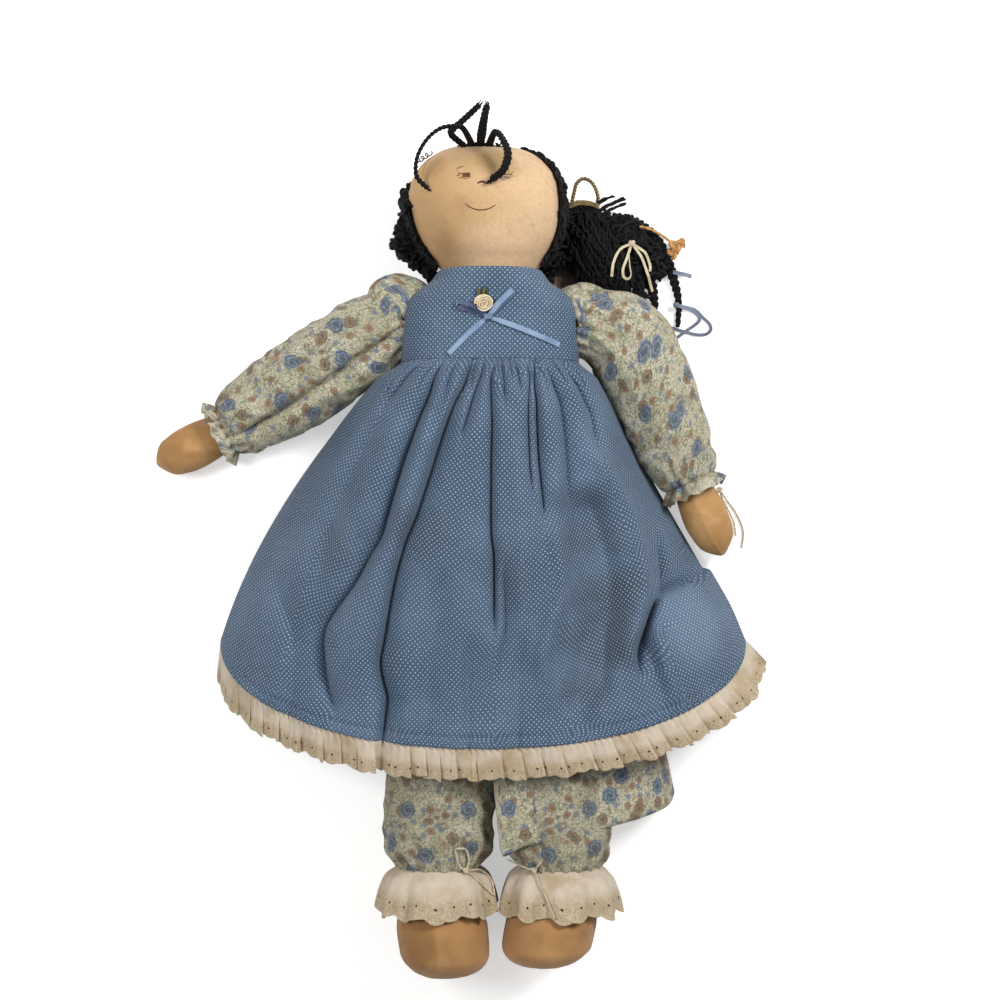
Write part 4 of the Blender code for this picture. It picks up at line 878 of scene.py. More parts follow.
def relief(along, share):
    """How far the pinafore's front stands over its plain form, in metres."""
    half = pinafore.half(along) * 1000
    sharp = np.zeros(along.shape)
    for route, depth, left, right, start, end, power in long_folds:
        distance = (share - fold_line(route, along)) * half
        growth = 0.50 + 0.50 * ease(along, 0, 0.08)
        found = depth * growth * faded(along, start, end)
        sharp = np.maximum(sharp, found * lean(distance, left, right, power))
    broad = np.zeros(along.shape)
    for route, depth, left, right, start, end in hollows:
        distance = (share - fold_line(route, along)) * half
        broad = np.maximum(broad, depth * faded(along, start, end) * lean(distance, left, right))
    up = np.zeros(along.shape)
    for route, depth, left, right, start, end in ridges:
        distance = (share - fold_line(route, along)) * half
        up = np.maximum(up, depth * faded(along, start, end) * lean(distance, left, right, 1.6))
    small = np.zeros(along.shape)
    for number, at in enumerate(gathers):
        reach = 0.07 + 0.13 * ((number * 7) % 5) / 4
        moved = at * (1 + 0.08 * along / reach * (((number * 3) % 5) / 4 - 0.4))
        distance = (share - moved) * half
        fade = 1 - ease(along, reach * 0.15, reach)
        depth = 5.0 + 3.0 * ((number * 3) % 4) / 3
        width = 1.1 + along * 10
        small = np.maximum(small, depth * fade * np.exp(-((np.abs(distance) / width) ** 1.1)))
    tuck_line = read([(0.70, 0.700), (0.823, 0.688), (0.903, 0.693), (0.971, 0.713),
                      (1.0, 0.735)], share)[..., 0]
    tuck = ease(along, tuck_line - 0.001, tuck_line + 0.007)
    beside = (share - fold_line(pocket_line, along)) * half
    tuck = tuck * ease(beside, 0.5, 5.0) * (1 - ease(along, 0.84, 1.06))
    tuck = tuck * ease(share, 0.68, 0.74)
    valley = np.exp(-((np.abs(beside) / np.where(beside < 0, 1.6, 4.5)) ** 1.6))
    valley = valley * ease(along, 0.46, 0.60) * (1 - ease(along, 0.80, 0.90))
    pocket = np.exp(-((np.maximum(0, tuck_line - along) / 0.055) ** 2)) * ease(beside, -1.5, 1.5)
    pocket = pocket * (along < tuck_line) * (1 - 0.55 * ease(share, 0.88, 1.0))
    groove = np.exp(-((np.maximum(0, tuck_line - along) / 0.014) ** 2)) * (along < tuck_line)
    groove = groove * ease(beside, -1.5, 1.5)
    rise = 8.8 * (1 - np.abs(share) ** 6)
    down = np.maximum(sharp, small) + 0.45 * np.minimum(sharp, small)
    down = down + broad * (1 - 0.5 * ease(down, 4, 12))
    down = np.maximum(down, 11.0 * np.maximum(valley, pocket)) + 8.0 * groove
    up = up * (1 - np.maximum(valley, pocket * 0.8))
    plain = (rise - np.minimum(down, 20.0) + up) / 1000
    return plain, tuck


def legs_reach(points):
    """The height that the cloth on the legs reaches below each point as the legs splay."""
    pivot_x, pivot_y = 0.027, -0.13825
    half_width, half_depth = 0.0335, 0.027
    highest = np.zeros(points.shape[:-1])
    table = np.array([
        (leg_length * s, half_width * w, half_depth * d) for s, w, d in pantaloon_shares
    ])
    for side in ("right", "left"):
        for angle in np.radians((0, 4, 8, 12, 15)):
            turn = outward[side] * angle
            across = points[..., 0] - outward[side] * pivot_x
            down = points[..., 1] - pivot_y
            x = across * math.cos(turn) + down * math.sin(turn) + outward[side] * pivot_x
            distance = hip_y - pivot_y + across * math.sin(turn) - down * math.cos(turn)
            half = np.interp(distance, table[:, 0], table[:, 1])
            deep = np.interp(distance, table[:, 0], table[:, 2])
            aside = np.abs(x - leg_middle(side, distance))
            inside = np.clip(aside / half, 0, 1)
            top = leg_z + deep * (1 - inside**2.2) ** (1 / 2.2)
            top = top - np.maximum(0, aside - half) * 1.5
            highest = np.maximum(highest, np.where(distance > 0.012, top, 0))
    return highest


def make_pinafore_skirt():
    stations = np.concatenate([
        np.linspace(0, 0.12, 34), np.linspace(0.12, 0.94, 104)[1:], np.linspace(0.94, 1, 16)[1:]
    ])
    count, back = 401, 91
    rows, front = pinafore.rows(stations, count, back)
    along = np.broadcast_to(stations[:, None], (len(stations), count)).copy()
    share = np.broadcast_to(front, along.shape).copy()
    edge_hold = (1 - np.abs(share) ** 8) * np.minimum(1, 0.42 + along / 0.035)
    lift, flap = relief(along, share)
    lift = lift * edge_hold + flap * 0.0095 * (1 - np.abs(share) ** 30)
    steep = np.gradient(lift, axis=1) / np.gradient(rows[:, :count, 0], axis=1)
    kernel = np.hanning(7) / np.hanning(7).sum()
    steep = np.apply_along_axis(lambda row: np.convolve(row, kernel, "same"), 1, steep)
    billow = -0.00045 * np.clip(steep, -2.2, 2.2) * (1 - np.abs(share) ** 8)
    soft = crumple(rows[:, :count] * np.array([1, 0.5, 1]), 0.028, 8) * 0.0022
    fine = crumple(rows[:, :count] * np.array([1, 0.4, 1]), 0.010, 9) * 0.0007
    lift += (soft + fine) * ease(along, 0.08, 0.3) * (1 - np.abs(share) ** 8)
    arc = hem_arc(rows[-1, :count])
    near_hem = ease(along, 0.945, 0.985)
    pucker = np.sin(arc * 2 * pi / 0.0042 + 2.0 * np.sin(arc * 70))
    lift += pucker[None, :] * near_hem * 0.00075 * (1 - np.abs(share) ** 8)
    stitched = np.exp(-(((along - 0.972) / 0.006) ** 2))
    lift -= stitched * 0.0009 * (1 - np.abs(share) ** 8)
    sideways = crumple(rows[:, :count], 0.05, 12) * 0.001 * ease(along, 0.3, 0.8)
    rows[:, :count, 2] += lift
    rows[:, :count, 0] += sideways * (1 - np.abs(share) ** 8) + billow
    rows[:, :count, 0] += 0.0045 * flap * ease(share, 0.80, 1.0)
    clearance, softness = 0.0036, 0.0014
    short = legs_reach(rows[:, :count]) + clearance - rows[:, :count, 2]
    rows[:, :count, 2] += (short + np.sqrt(short**2 + softness**2)) / 2
    rows[:, :, 2] = np.maximum(rows[:, :, 2], 0.0009)
    rows[:4, :, 2] -= 0.0006
    made = skirt_mesh("pinafore_skirt_cloth", rows, count, front, stations)
    hem = rows[-1].copy()
    thicken(made, 0.0009)
    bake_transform(made)
    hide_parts("pinafore_skirt")
    return made, hem, count


def hem_arc(line):
    steps = np.linalg.norm(np.diff(line, axis=0), axis=1)
    return np.concatenate([[0], np.cumsum(steps)])


def skirt_mesh(name, rows, count, front, stations):
    """The skirt with its cloth mapped fold by fold, so that the dots keep their size."""
    borders = [fold_line(fold[0], stations) for fold in
               (long_folds[0], long_folds[1], long_folds[2], long_folds[3], long_folds[4],
                long_folds[6])]
    edges = np.stack([np.full(len(stations), -1.0), *borders, np.full(len(stations), 1.0)])
    steps = np.linalg.norm(np.diff(rows[:, :count], axis=1), axis=2)
    arc = np.concatenate([np.zeros((len(rows), 1)), np.cumsum(steps, axis=1)], axis=1)
    maps = []
    for left, right in zip(edges, edges[1:]):
        middle = (left + right) / 2
        centre = np.array([
            [np.interp(m, front, rows[i, :count, n]) for n in range(3)]
            for i, m in enumerate(middle)
        ])
        centre_arc = np.array([np.interp(m, front, arc[i]) for i, m in enumerate(middle)])
        ahead = np.array([
            [np.interp(m + 0.03, front, rows[i, :count, n]) for n in range(3)]
            for i, m in enumerate(middle)
        ])
        ring_way = ahead - centre
        ring_way /= np.linalg.norm(ring_way, axis=1, keepdims=True)
        down_way = np.gradient(centre, axis=0)
        down_way /= np.linalg.norm(down_way, axis=1, keepdims=True) + 1e-12
        slant = (ring_way * down_way).sum(axis=1)
        smooth = np.convolve(np.pad(slant, 8, mode="edge"), np.ones(17) / 17, "valid")
        down = hem_arc(centre)
        down -= down[-1]
        offset = arc - centre_arc[:, None]
        u = centre_arc[-1] + offset * np.sqrt(1 - smooth**2)[:, None]
        v = -(down[:, None] + offset * smooth[:, None])
        maps.append(np.stack([u, v], axis=2))
    total = rows.shape[1]
    back_u = rows[:, :, 0]
    back_v = -rows[:, :, 1] + 0.4
    back_map = np.stack([back_u, back_v], axis=2)
    faces, _ = grid_faces(len(rows), total, True)
    uv = []
    for i in range(len(rows) - 1):
        middles = (front[:-1] + front[1:]) / 2
        panel = np.zeros(count - 1, int)
        for border in borders:
            panel += middles > (border[i] + border[i + 1]) / 2
        for j in range(total):
            k = (j + 1) % total
            source = maps[panel[j]] if j < count - 1 else back_map
            uv += [source[i, j], source[i, k], source[i + 1, k], source[i + 1, j]]
    made = piece(name, rows, faces, looks["dotted"], uv)
    turn_outwards(made)
    return made


def make_dress_skirt():
    stations = np.concatenate([np.linspace(0, 0.2, 12), np.linspace(0.2, 1, 70)[1:]])
    count = 221
    rows, front = dress_skirt.rows(stations, count, 81)
    along = stations[:, None]
    share = front[None, :]
    hold = 1 - np.abs(share) ** 8
    wave = np.sin(share * 9 + 1.5) * 0.0016 + np.sin(share * 23 + along * 3) * 0.0007
    wave = wave * ease(along, 0.55, 0.95) - 0.0007
    soft = crumple(rows[:, :count], 0.02, 21) * 0.0009 * ease(along, 0.5, 0.9)
    rows[:, :count, 2] += (wave + soft) * hold
    rows[:, :, 2] = np.maximum(rows[:, :, 2], layer)
    made = loft("dress_skirt_cloth", rows, looks["floral"], uv=flat_map(rows, count))
    thicken(made, 0.0008)
    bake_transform(made)
    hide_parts("dress_skirt")


def flat_map(rows, count):
    """A map that follows the front from its middle and the way down."""
    wrapped = np.concatenate([rows, rows[:, :1]], axis=1)
    steps = np.linalg.norm(np.diff(wrapped, axis=1), axis=2)
    across = np.concatenate([np.zeros((len(rows), 1)), np.cumsum(steps, axis=1)], axis=1)
    across -= across[:, count // 2:count // 2 + 1]
    down = np.broadcast_to(-wrapped[:, :, 1], across.shape)
    return np.stack([across, down], axis=2)


def make_hem_lace(hem, count):
    """Gathered eyelet lace sewn under the hem all the way round."""
    width = 0.0175
    pitch = 0.0108
    front_line = smooth_route(hem[:count], 0.00055)
    rear_line = smooth_route(np.vstack([hem[count - 1:], hem[:1]]), 0.0016)[1:-1]
    line = np.vstack([front_line, rear_line])
    is_front = np.concatenate([np.ones(len(front_line)), np.zeros(len(rear_line))])
    arc = hem_arc(line)
    even = np.convolve(np.pad(line[:, 2], 10, mode="wrap"), np.ones(21) / 21, "valid")
    side = (line[:, 0] + 0.005) / 0.1695
    side = np.where(side < 0, 0.12 * side, 0.8 * side)
    way = np.stack([side, -np.ones(len(line)), 0 * side], axis=1)
    way /= np.linalg.norm(way, axis=1, keepdims=True)
    tangent = np.gradient(line, axis=0)
    tangent /= np.linalg.norm(tangent, axis=1, keepdims=True)
    fullness = 1.35
    own = arc * fullness
    phase = arc / 0.0150 + 0.28 * np.sin(arc * 31) + 0.20 * np.sin(arc * 83 + 1)
    turned = phase - np.floor(phase)
    saw = np.where(turned < 0.84, turned / 0.84, (1 - turned) / 0.16)
    saw = np.convolve(np.pad(saw, 1, mode="wrap"), (0.2, 0.6, 0.2), "valid")
    second = arc * 2 * pi / 0.031 + 1.2
    rows = []
    maps = []
    shares = np.linspace(-0.16, 1, 22)
    for out in shares:
        scallop = 1 + 0.085 * np.abs(np.sin(pi * own / pitch)) * ease(out, 0.72, 1.0)
        reach = gap * 2 + width * out * scallop * (1 + 0.05 * np.sin(second))
        grow = max(out, 0) ** 0.8
        pleat = (saw - 0.5) * 0.0052 + np.sin(second) * 0.0010
        sway = (saw - 0.5) * 0.0058 * grow
        spot = line + way * reach[:, None] + tangent * sway[:, None] * is_front[:, None]
        droop = width / 8 * min(1, max(out, 0)) + (0.0016 if out < 0.02 else 0.0012)
        calm = min(1, max(0, out) * 4) * is_front
        z = line[:, 2] * (1 - calm) + even * calm - droop + pleat * grow * is_front
        z = np.where(is_front > 0, z, np.maximum(z, 0.0008))
        spot[:, 2] = np.maximum(z, 0.0008)
        rows.append(spot)
        maps.append(np.stack([own, np.full(len(own), width * max(out, 0))], axis=1))
    uv = np.array(maps)
    uv = np.concatenate([uv, uv[:, -1:] + np.array([0.002, 0])], axis=1)
    made = loft("pinafore_lace_frill", rows, looks["hem_lace"], uv=uv)
    thicken(made, 0.0005, 0)
    dress(made, "skirts", "eyelet_lace", "pinafore_lace")
    return made


# Arms and sleeves
arm_shares = {
    "right": [
        (0.000, 0.000, 1.000), (0.062, -0.003, 0.985), (0.208, -0.091, 0.853),
        (0.379, -0.203, 0.750), (0.547, -0.309, 0.662), (0.681, -0.391, 0.574),
        (0.731, -0.419, 0.529), (0.856, -0.481, 0.441), (0.956, -0.528, 0.397),
        (0.996, -0.547, 0.382),
    ],
    "left": [
        (0.000, 0.000, 1.000), (0.068, -0.003, 0.985), (0.199, -0.059, 0.882),
        (0.284, -0.203, 0.779), (0.359, -0.378, 0.691), (0.437, -0.553, 0.588),
        (0.474, -0.634, 0.529), (0.531, -0.759, 0.441), (0.578, -0.859, 0.397),
        (0.599, -0.903, 0.382),
    ],
}
outward = {"right": -1, "left": 1}
arm_widths = [
    (1.00, 1.0), (1.00, 1.0), (1.08, 1.0), (1.10, 0.95), (1.00, 0.95), (0.86, 0.95),
    (0.83, 0.95), (0.97, 0.86), (0.80, 0.86), (0.36, 0.86),
]


def arm_route(side):
    start = chest_width / 2 - 2 * layer + gap
    return np.array([
        (outward[side] * (start + arm_length * out), shoulder_y + arm_length * down,
         shoulder_z * high)
        for out, down, high in arm_shares[side]
    ])


def route_rows(table, count, rows, floor, places=None):
    """Rings square to a route; the table has (x, y, z, half, half height) rows."""
    table = np.asarray(table, float)
    index = np.arange(len(table)) if places is None else places
    at = np.linspace(index[0], index[-1], rows)
    dense = read(np.column_stack([index, table]), at)
    along = np.gradient(dense[:, :3], axis=0)
    along[0] = (math.copysign(1, dense[0, 0]), 0, 0)
    flat = along[:, :2] / (np.linalg.norm(along[:, :2], axis=1, keepdims=True) + 1e-9)
    across = np.stack([-flat[:, 1], flat[:, 0], 0 * flat[:, 0]], axis=1)
    turn = np.linspace(0, 2 * pi, count, endpoint=False)
    made = (
        dense[:, None, :3]
        + across[:, None, :] * (dense[:, 3, None, None] * np.cos(turn)[None, :, None])
    )
    made[:, :, 2] += dense[:, 4, None] * np.sin(turn)[None, :]
    made[:, :, 2] = np.maximum(made[:, :, 2], floor)
    return made


def make_arm(side):
    route = arm_route(side)
    table = [
        (*place, arm_root_radius * width, arm_root_radius * width * depth)
        for place, (width, depth) in zip(route, arm_widths)
    ]
    end = route[-1] + (route[-1] - route[-2]) * 0.35
    table.append((*end, 0.0016, 0.0014))
    rows = route_rows(table, 64, 110, layer)
    way = normals_of(rows, True)
    rows += way * (crumple(rows, 0.012, 31) * 0.0004)[:, :, None]
    share = np.linspace(0, 1, 110)[:, None]
    turn = np.linspace(0, 2 * pi, 64, endpoint=False)[None, :]
    near = np.exp(-(((turn - pi / 2 - 0.25 * outward[side]) / 0.07) ** 2))
    rows += way * (near * ease(share, 0.62, 0.7) * 0.0006)[:, :, None]
    rows[:, :, 2] = np.maximum(rows[:, :, 2], layer)
    made = loft(f"{side}_arm_skin", rows, looks["hand"], caps=(True, True))
    dress(made, f"{side}_arm", "muslin", f"{side}_arm")
    return made


sleeve_points = [
    (1, 0.0, 0.80, 0.80), (2, 0.0, 0.98, 1.00), (3, 0.0, 1.00, 0.98), (4, 0.0, 0.92, 0.86),
    (5, -0.2, 0.80, 0.74),
]


def make_sleeve(side):
    route = arm_route(side)
    direction = outward[side]
    wider, raised = {"right": (0.0056, 0.0045), "left": (0.0026, 0.0022)}[side]
    table = [
        (direction * (chest_width / 2 - layer + shift), route[0][1] + raised * grow,
         route[0][2], half + wider * grow, half)
        for shift, half, grow in (
            (-0.0002, 0.0155, 0.3), (0.0004, 0.0188, 1.0), (layer + gap, 0.0192, 1.1))
    ]
    for at, slide, width, depth in sleeve_points:
        along = route[min(at + 1, 9)] - route[at - 1]
        along /= np.linalg.norm(along)
        table.append((*(route[at] + along * sleeve_puff * slide), sleeve_puff * width,
                      sleeve_puff * depth))
    wrist = arm_root_radius * 0.83 + 2 * gap
    along = route[7] - route[5]
    along /= np.linalg.norm(along)
    for slide, out in ((-0.35, 0.10), (-0.10, 0.0), (0.12, 0.07), (0.5, 0.22)):
        table.append((*(route[6] + along * wrist * slide), wrist + sleeve_puff * out + cloth,
                      wrist * 0.95 + sleeve_puff * out + cloth))
    count, total = 150, 170
    rows = route_rows(table, count, total, 0.0008)
    steps = len(table) - 1
    share = (np.linspace(0, steps, total))[:, None]
    turn = np.linspace(0, 2 * pi, count, endpoint=False)[None, :]
    way = normals_of(rows, True)
    seam = ease(share, 4.2, 2.2) * ease(share, 1.6, 2.2)
    bumps = np.sin(turn * 17 + 1.3 * np.sin(turn * 3)) * 0.0016 * seam
    cuff = ease(share, steps - 4.4, steps - 2.6)
    frill = np.sin(turn * 15 + 1.2 * np.sin(turn * 2 + 1)) * (0.0012 * cuff)
    frill = frill + np.sin(turn * 11 + 1) * 0.0019 * ease(share, steps - 2.2, steps)
    long_wrinkle = crumple(rows * np.array([1, 1, 1.4]), 0.022, 41 + direction, "crease")
    fine = crumple(rows, 0.011, 43 + direction)
    body = ease(share, 2.0, 3.6) * (1 - ease(share, steps - 4.0, steps - 2.5))
    amount = bumps + frill + (long_wrinkle * 0.0026 + fine * 0.0008) * body
    if side == "right":
        crease = np.exp(-(((turn - 1.20 + 0.02 * share) / 0.15) ** 2))
        amount = amount - crease * 0.0090 * ease(share, 2.0, 3.2) * (1 - ease(share, 6.6, 8.2))
        crease = np.exp(-(((turn - 1.85 - 0.02 * share) / 0.13) ** 2))
        amount = amount - crease * 0.0040 * ease(share, 2.6, 3.6) * (1 - ease(share, 5.0, 6.4))
    rows += way * amount[:, :, None]
    rows[:, :, 2] = np.maximum(rows[:, :, 2], 0.0008)
    made = loft(f"{side}_sleeve_cloth", rows, looks["floral_sleeve"], uv=line_map(rows, 40))
    thicken(made, 0.0007)
    dress(made, f"{side}_arm", "floral_cotton", f"{side}_sleeve")
    return made


# Legs, pantaloons and frills
leg_middles = {
    "right": [(0.0, -0.500), (0.35, -0.537), (0.80, -0.620), (1.0, -0.511)],
    "left": [(0.0, 0.500), (0.35, 0.704), (0.80, 0.824), (1.0, 0.602)],
}
foot_lengths = {"right": 1.058, "left": 0.950}
leg_shares = [
    (0.10, 0.76, 0.80), (0.17, 0.85, 0.90), (0.30, 0.93, 0.92), (0.50, 1.00, 0.92),
    (0.75, 0.95, 0.90), (0.93, 0.86, 0.84), (1.00, 0.82, 0.80),
]
foot_shares = [
    (0.12, 0.76, 0.12, 0.76), (0.32, 0.88, 0.065, 0.90), (0.56, 0.99, -0.005, 1.00),
    (0.78, 0.98, -0.01, 1.00), (0.92, 0.82, 0.06, 0.91), (1.00, 0.46, 0.26, 0.70),
]


def leg_middle(side, distance):
    table = np.array(leg_middles[side])
    return 0.054 * np.interp(distance / (leg_length + foot_length), table[:, 0], table[:, 1])


def make_leg(side):
    table = []
    for turn_share in (0.05, 0.22, 0.45, 0.70):
        turn = pi / 2 * turn_share
        distance = gap / 2 + 0.018 * (1 - math.cos(turn))
        table.append((hip_y - distance, leg_middle(side, distance), hip_z,
                      0.018 * math.sin(turn), 0.63 * distance))
    for share, width, depth in leg_shares:
        distance = leg_length * share
        height = min(leg_radius * depth, 0.63 * distance)
        table.append((hip_y - distance, leg_middle(side, distance),
                      hip_z + (leg_z - hip_z) * share, leg_radius * width, height))
    length = foot_length * foot_lengths[side]
    for share, width, low, high in foot_shares:
        distance = leg_length + length * share
        table.append((hip_y - distance, leg_middle(side, distance), 0.069 * (low + high) / 2,
                      0.029 * width, 0.069 * (high - low) / 2))
    last = table[-1]
    table.append((last[0] - 0.0006, last[1], last[2], 0.006, 0.007))
    rows = ovals(table, 72, 170)
    way = normals_of(rows, True)
    rows += way * (crumple(rows, 0.016, 51) * 0.0006 + crumple(rows, 0.006, 52) * 0.0002)[..., None]
    rows[:, :, 2] = np.maximum(rows[:, :, 2], 0.0002)
    made = loft(f"{side}_leg_skin", rows, looks["foot"], caps=(True, True))
    dress(made, f"{side}_leg", "muslin", f"{side}_leg")


pantaloon_shares = [
    (0.062, 0.62, 0.46), (0.11, 0.69, 0.73), (0.19, 0.77, 0.99), (0.40, 0.87, 1.00),
    (0.65, 0.93, 1.00), (0.82, 1.00, 1.00), (0.92, 0.98, 0.96),
]


def make_pantaloon(side):
    table = []
    rows_in = [(s, 0.0335 * w, 0.027 * d) for s, w, d in pantaloon_shares]
    rows_in.append((0.985, leg_radius * 0.82 + layer + gap, leg_radius * 0.80 + layer + gap))
    for share, half, deep in rows_in:
        distance = leg_length * share
        table.append((hip_y - distance, leg_middle(side, distance),
                      hip_z + (leg_z - hip_z) * share, half, deep))
    count, total = 130, 150
    rows = ovals(table, count, total, 2 * layer)
    share = np.linspace(0, 1, total)[:, None]
    turn = np.linspace(0, 2 * pi, count, endpoint=False)[None, :]
    way = normals_of(rows, True)
    ankle = ease(share, 0.80, 0.98)
    flute = np.sin(turn * 19 + 1.4 * np.sin(turn * 3 + outward[side])) * 0.0013 * ankle
    squash_fold = np.sin(share * 46 + 2.5 * np.sin(turn * 2 + outward[side])) * 0.0008
    squash_fold = squash_fold * ease(share, 0.70, 0.86) * (1 - ankle)
    soft = crumple(rows, 0.020, 61 + outward[side], "crease") * 0.0026
    fine = crumple(rows, 0.008, 63) * 0.0004
    amount = flute + squash_fold + (soft + fine) * (1 - 0.6 * ankle)
    amount = amount * ease(share, 0.0, 0.05)
    rows += way * amount[:, :, None]
    rows[:, :, 2] = np.maximum(rows[:, :, 2], 2 * layer)
    made = loft(f"{side}_pantaloon_cloth", rows, looks["floral_leg"])
    thicken(made, 0.0007)
    dress(made, f"{side}_leg", "floral_cotton", f"{side}_pantaloon")


def make_seat():
    places = np.linspace(hip_y + 0.0135, waist_y - 0.024, 40)
    made = loft("pantaloon_seat_cloth", torso_rows(places, layer), looks["floral"])
    thicken(made, 0.0007)
    dress(made, "torso", "floral_cotton", "pantaloon_seat")


def make_ankle_frill(side):
    """A wide gathered frill of eyelet lace that stands out over the foot."""
    count, total = 330, 30
    width = 0.0265
    turn = np.linspace(0, 2 * pi, count, endpoint=False)
    x = leg_middle(side, leg_length)
    scallops = 22
    rows = []
    maps = []
    for out in np.linspace(0, 1, total):
        reach = read([(0, 0), (0.40, 0.72), (0.75, 0.93), (1.0, 1.0)], out)[0]
        drop = read([(0, 0), (0.25, 0.18), (0.55, 0.52), (1.0, 1.0)], out)[0]
        edge = 0.0014 * np.abs(np.sin(turn * scallops / 2)) * ease(out, 0.8, 1)
        wave = 0.0022 * np.sin(turn * 9 + 1.1 * np.sin(turn * 2) + outward[side])
        wave = wave + 0.0008 * np.sin(turn * 20 + 1)
        half = leg_radius * 0.82 + gap + 0.0022 + 0.0132 * reach + wave * out
        deep = leg_radius * 0.80 + gap + 0.0022 + 0.0132 * reach + wave * out
        cx, sx = np.cos(turn), np.sin(turn)
        px = x + half * np.sign(cx) * np.abs(cx) ** (2 / 2.2)
        pz = leg_z + deep * np.sign(sx) * np.abs(sx) ** (2 / 2.2)
        py = hip_y - leg_length + 0.0045 - 0.0270 * drop - edge
        py = py - 0.0018 * out * np.cos(turn * 9 + 1.0 * np.sin(turn * 3))
        rows.append(np.stack([px, py + 0 * px, np.maximum(pz, 0.0008)], axis=1))
        own = np.linspace(0, scallops * 0.0104, count + 1)
        maps.append(np.stack([own, np.full(count + 1, width * out)], axis=1))
    made = loft(f"{side}_ankle_frill", rows, looks["ankle_lace"], uv=np.array(maps))
    thicken(made, 0.0005, 0)
    dress(made, f"{side}_leg", "eyelet_lace", f"{side}_ankle_lace")
    return made


# The head
head_table = [
    (0.090, 0.71, 0.074, 0.775), (0.19, 0.84, 0.037, 0.859), (0.31, 0.935, 0.012, 0.933),
    (0.44, 0.985, 0.000, 0.982), (0.56, 1.000, 0.000, 1.000), (0.69, 0.965, 0.012, 0.975),
    (0.81, 0.86, 0.061, 0.896), (0.91, 0.68, 0.147, 0.773), (0.97, 0.43, 0.270, 0.626),
    (1.00, 0.12, 0.405, 0.503),
]


def head_oval(share):
    """Place, middle, height of the middle, half width and half height at a share."""
    width, low, high = read(head_table, share)
    lean_x = -0.0038 * min(1, share / 0.56)
    y = neckline_y + share * 0.080
    return (y, lean_x, 0.005 + 0.0815 * (low + high) / 2, 0.0477 * width,
            0.0815 * (high - low) / 2)


def make_head():
    table = []
    for turn_share in (0.05, 0.2, 0.4, 0.6, 0.8):
        turn = pi / 2 * turn_share
        table.append((0.042 - 0.026 * math.cos(turn), 0, 0.038, 0.030 * math.sin(turn),
                      0.026 * math.sin(turn)))
    shares = [0.09, 0.14, 0.19, 0.25, 0.31, 0.38, 0.44, 0.5, 0.56, 0.62, 0.69, 0.75, 0.81, 0.86,
              0.91, 0.94, 0.97, 0.985, 1.0]
    table += [head_oval(share) for share in shares]
    last = table[-1]
    table.append((last[0] + 0.0003, last[1], last[2], 0.002, 0.001))
    count = 160
    rows = ovals(table, count, 190, 0.0, 2.1)
    way = normals_of(rows, True)
    turn = np.linspace(0, 2 * pi, count, endpoint=False)[None, :]
    high = ease(rows[:, :, 1], 0.040, 0.055)
    seam = np.exp(-((np.sin(turn) / 0.035) ** 2))
    arc = hem_arc(rows[:, 0])[:, None]
    pucker = np.sin(arc * 2 * pi / 0.0062) * np.exp(-((np.sin(turn) / 0.16) ** 2))
    amount = -seam * 0.0007 + pucker * 0.0003
    lump = crumple(rows, 0.030, 71) * 0.0009 + crumple(rows, 0.012, 72) * 0.0003
    rows += way * ((amount + lump) * high)[:, :, None]
    made = loft("head_skin", rows, looks["face"], caps=(True, True))
    dress(made, "head", "muslin", "head")
    return made


def ray_at(px, py):
    way = Vector(((px - 500) * pixel_slope, -(py - 500) * pixel_slope, -1))
    return Vector(camera_place), way.normalized()


def on_skin(skin, px, py, lift):
    """The point of a piece that a pixel of the photograph shows, a little over it."""
    start, way = ray_at(px, py)
    place, side, _, _ = skin.ray_cast(start, way)
    if place is None:
        beside = start + way * ((0.058 - start.z) / way.z)
        place, side, _, _ = skin.find_nearest(beside)
    return place + side * lift, side


def stroke(name, skin, pixels, width, look, ends=0.5):
    """A drawn or stitched line on the face: a thin band that follows the cloth."""
    line = smooth_route([(x, y, 0) for x, y in pixels], 0.45)
    rows = []
    for k, (px, py, _) in enumerate(line):
        place, side = on_skin(skin, px, py, 0.00016)
        a = line[max(k - 1, 0)]
        b = line[min(k + 1, len(line) - 1)]
        way = Vector((b[0] - a[0], a[1] - b[1], 0)).normalized()
        across = side.cross(way).normalized()
        t = k / (len(line) - 1)
        taper = width / 2 * (ends + (1 - ends) * math.sin(pi * t) ** 0.5)
        ring = [place + across * taper, place + side * 0.00012, place - across * taper]
        rows.append([tuple(p) for p in ring])
    made = loft(name, rows, look, closed=False)
    thicken(made, 0.0001)
    dress(made, "head", "muslin")
    return made


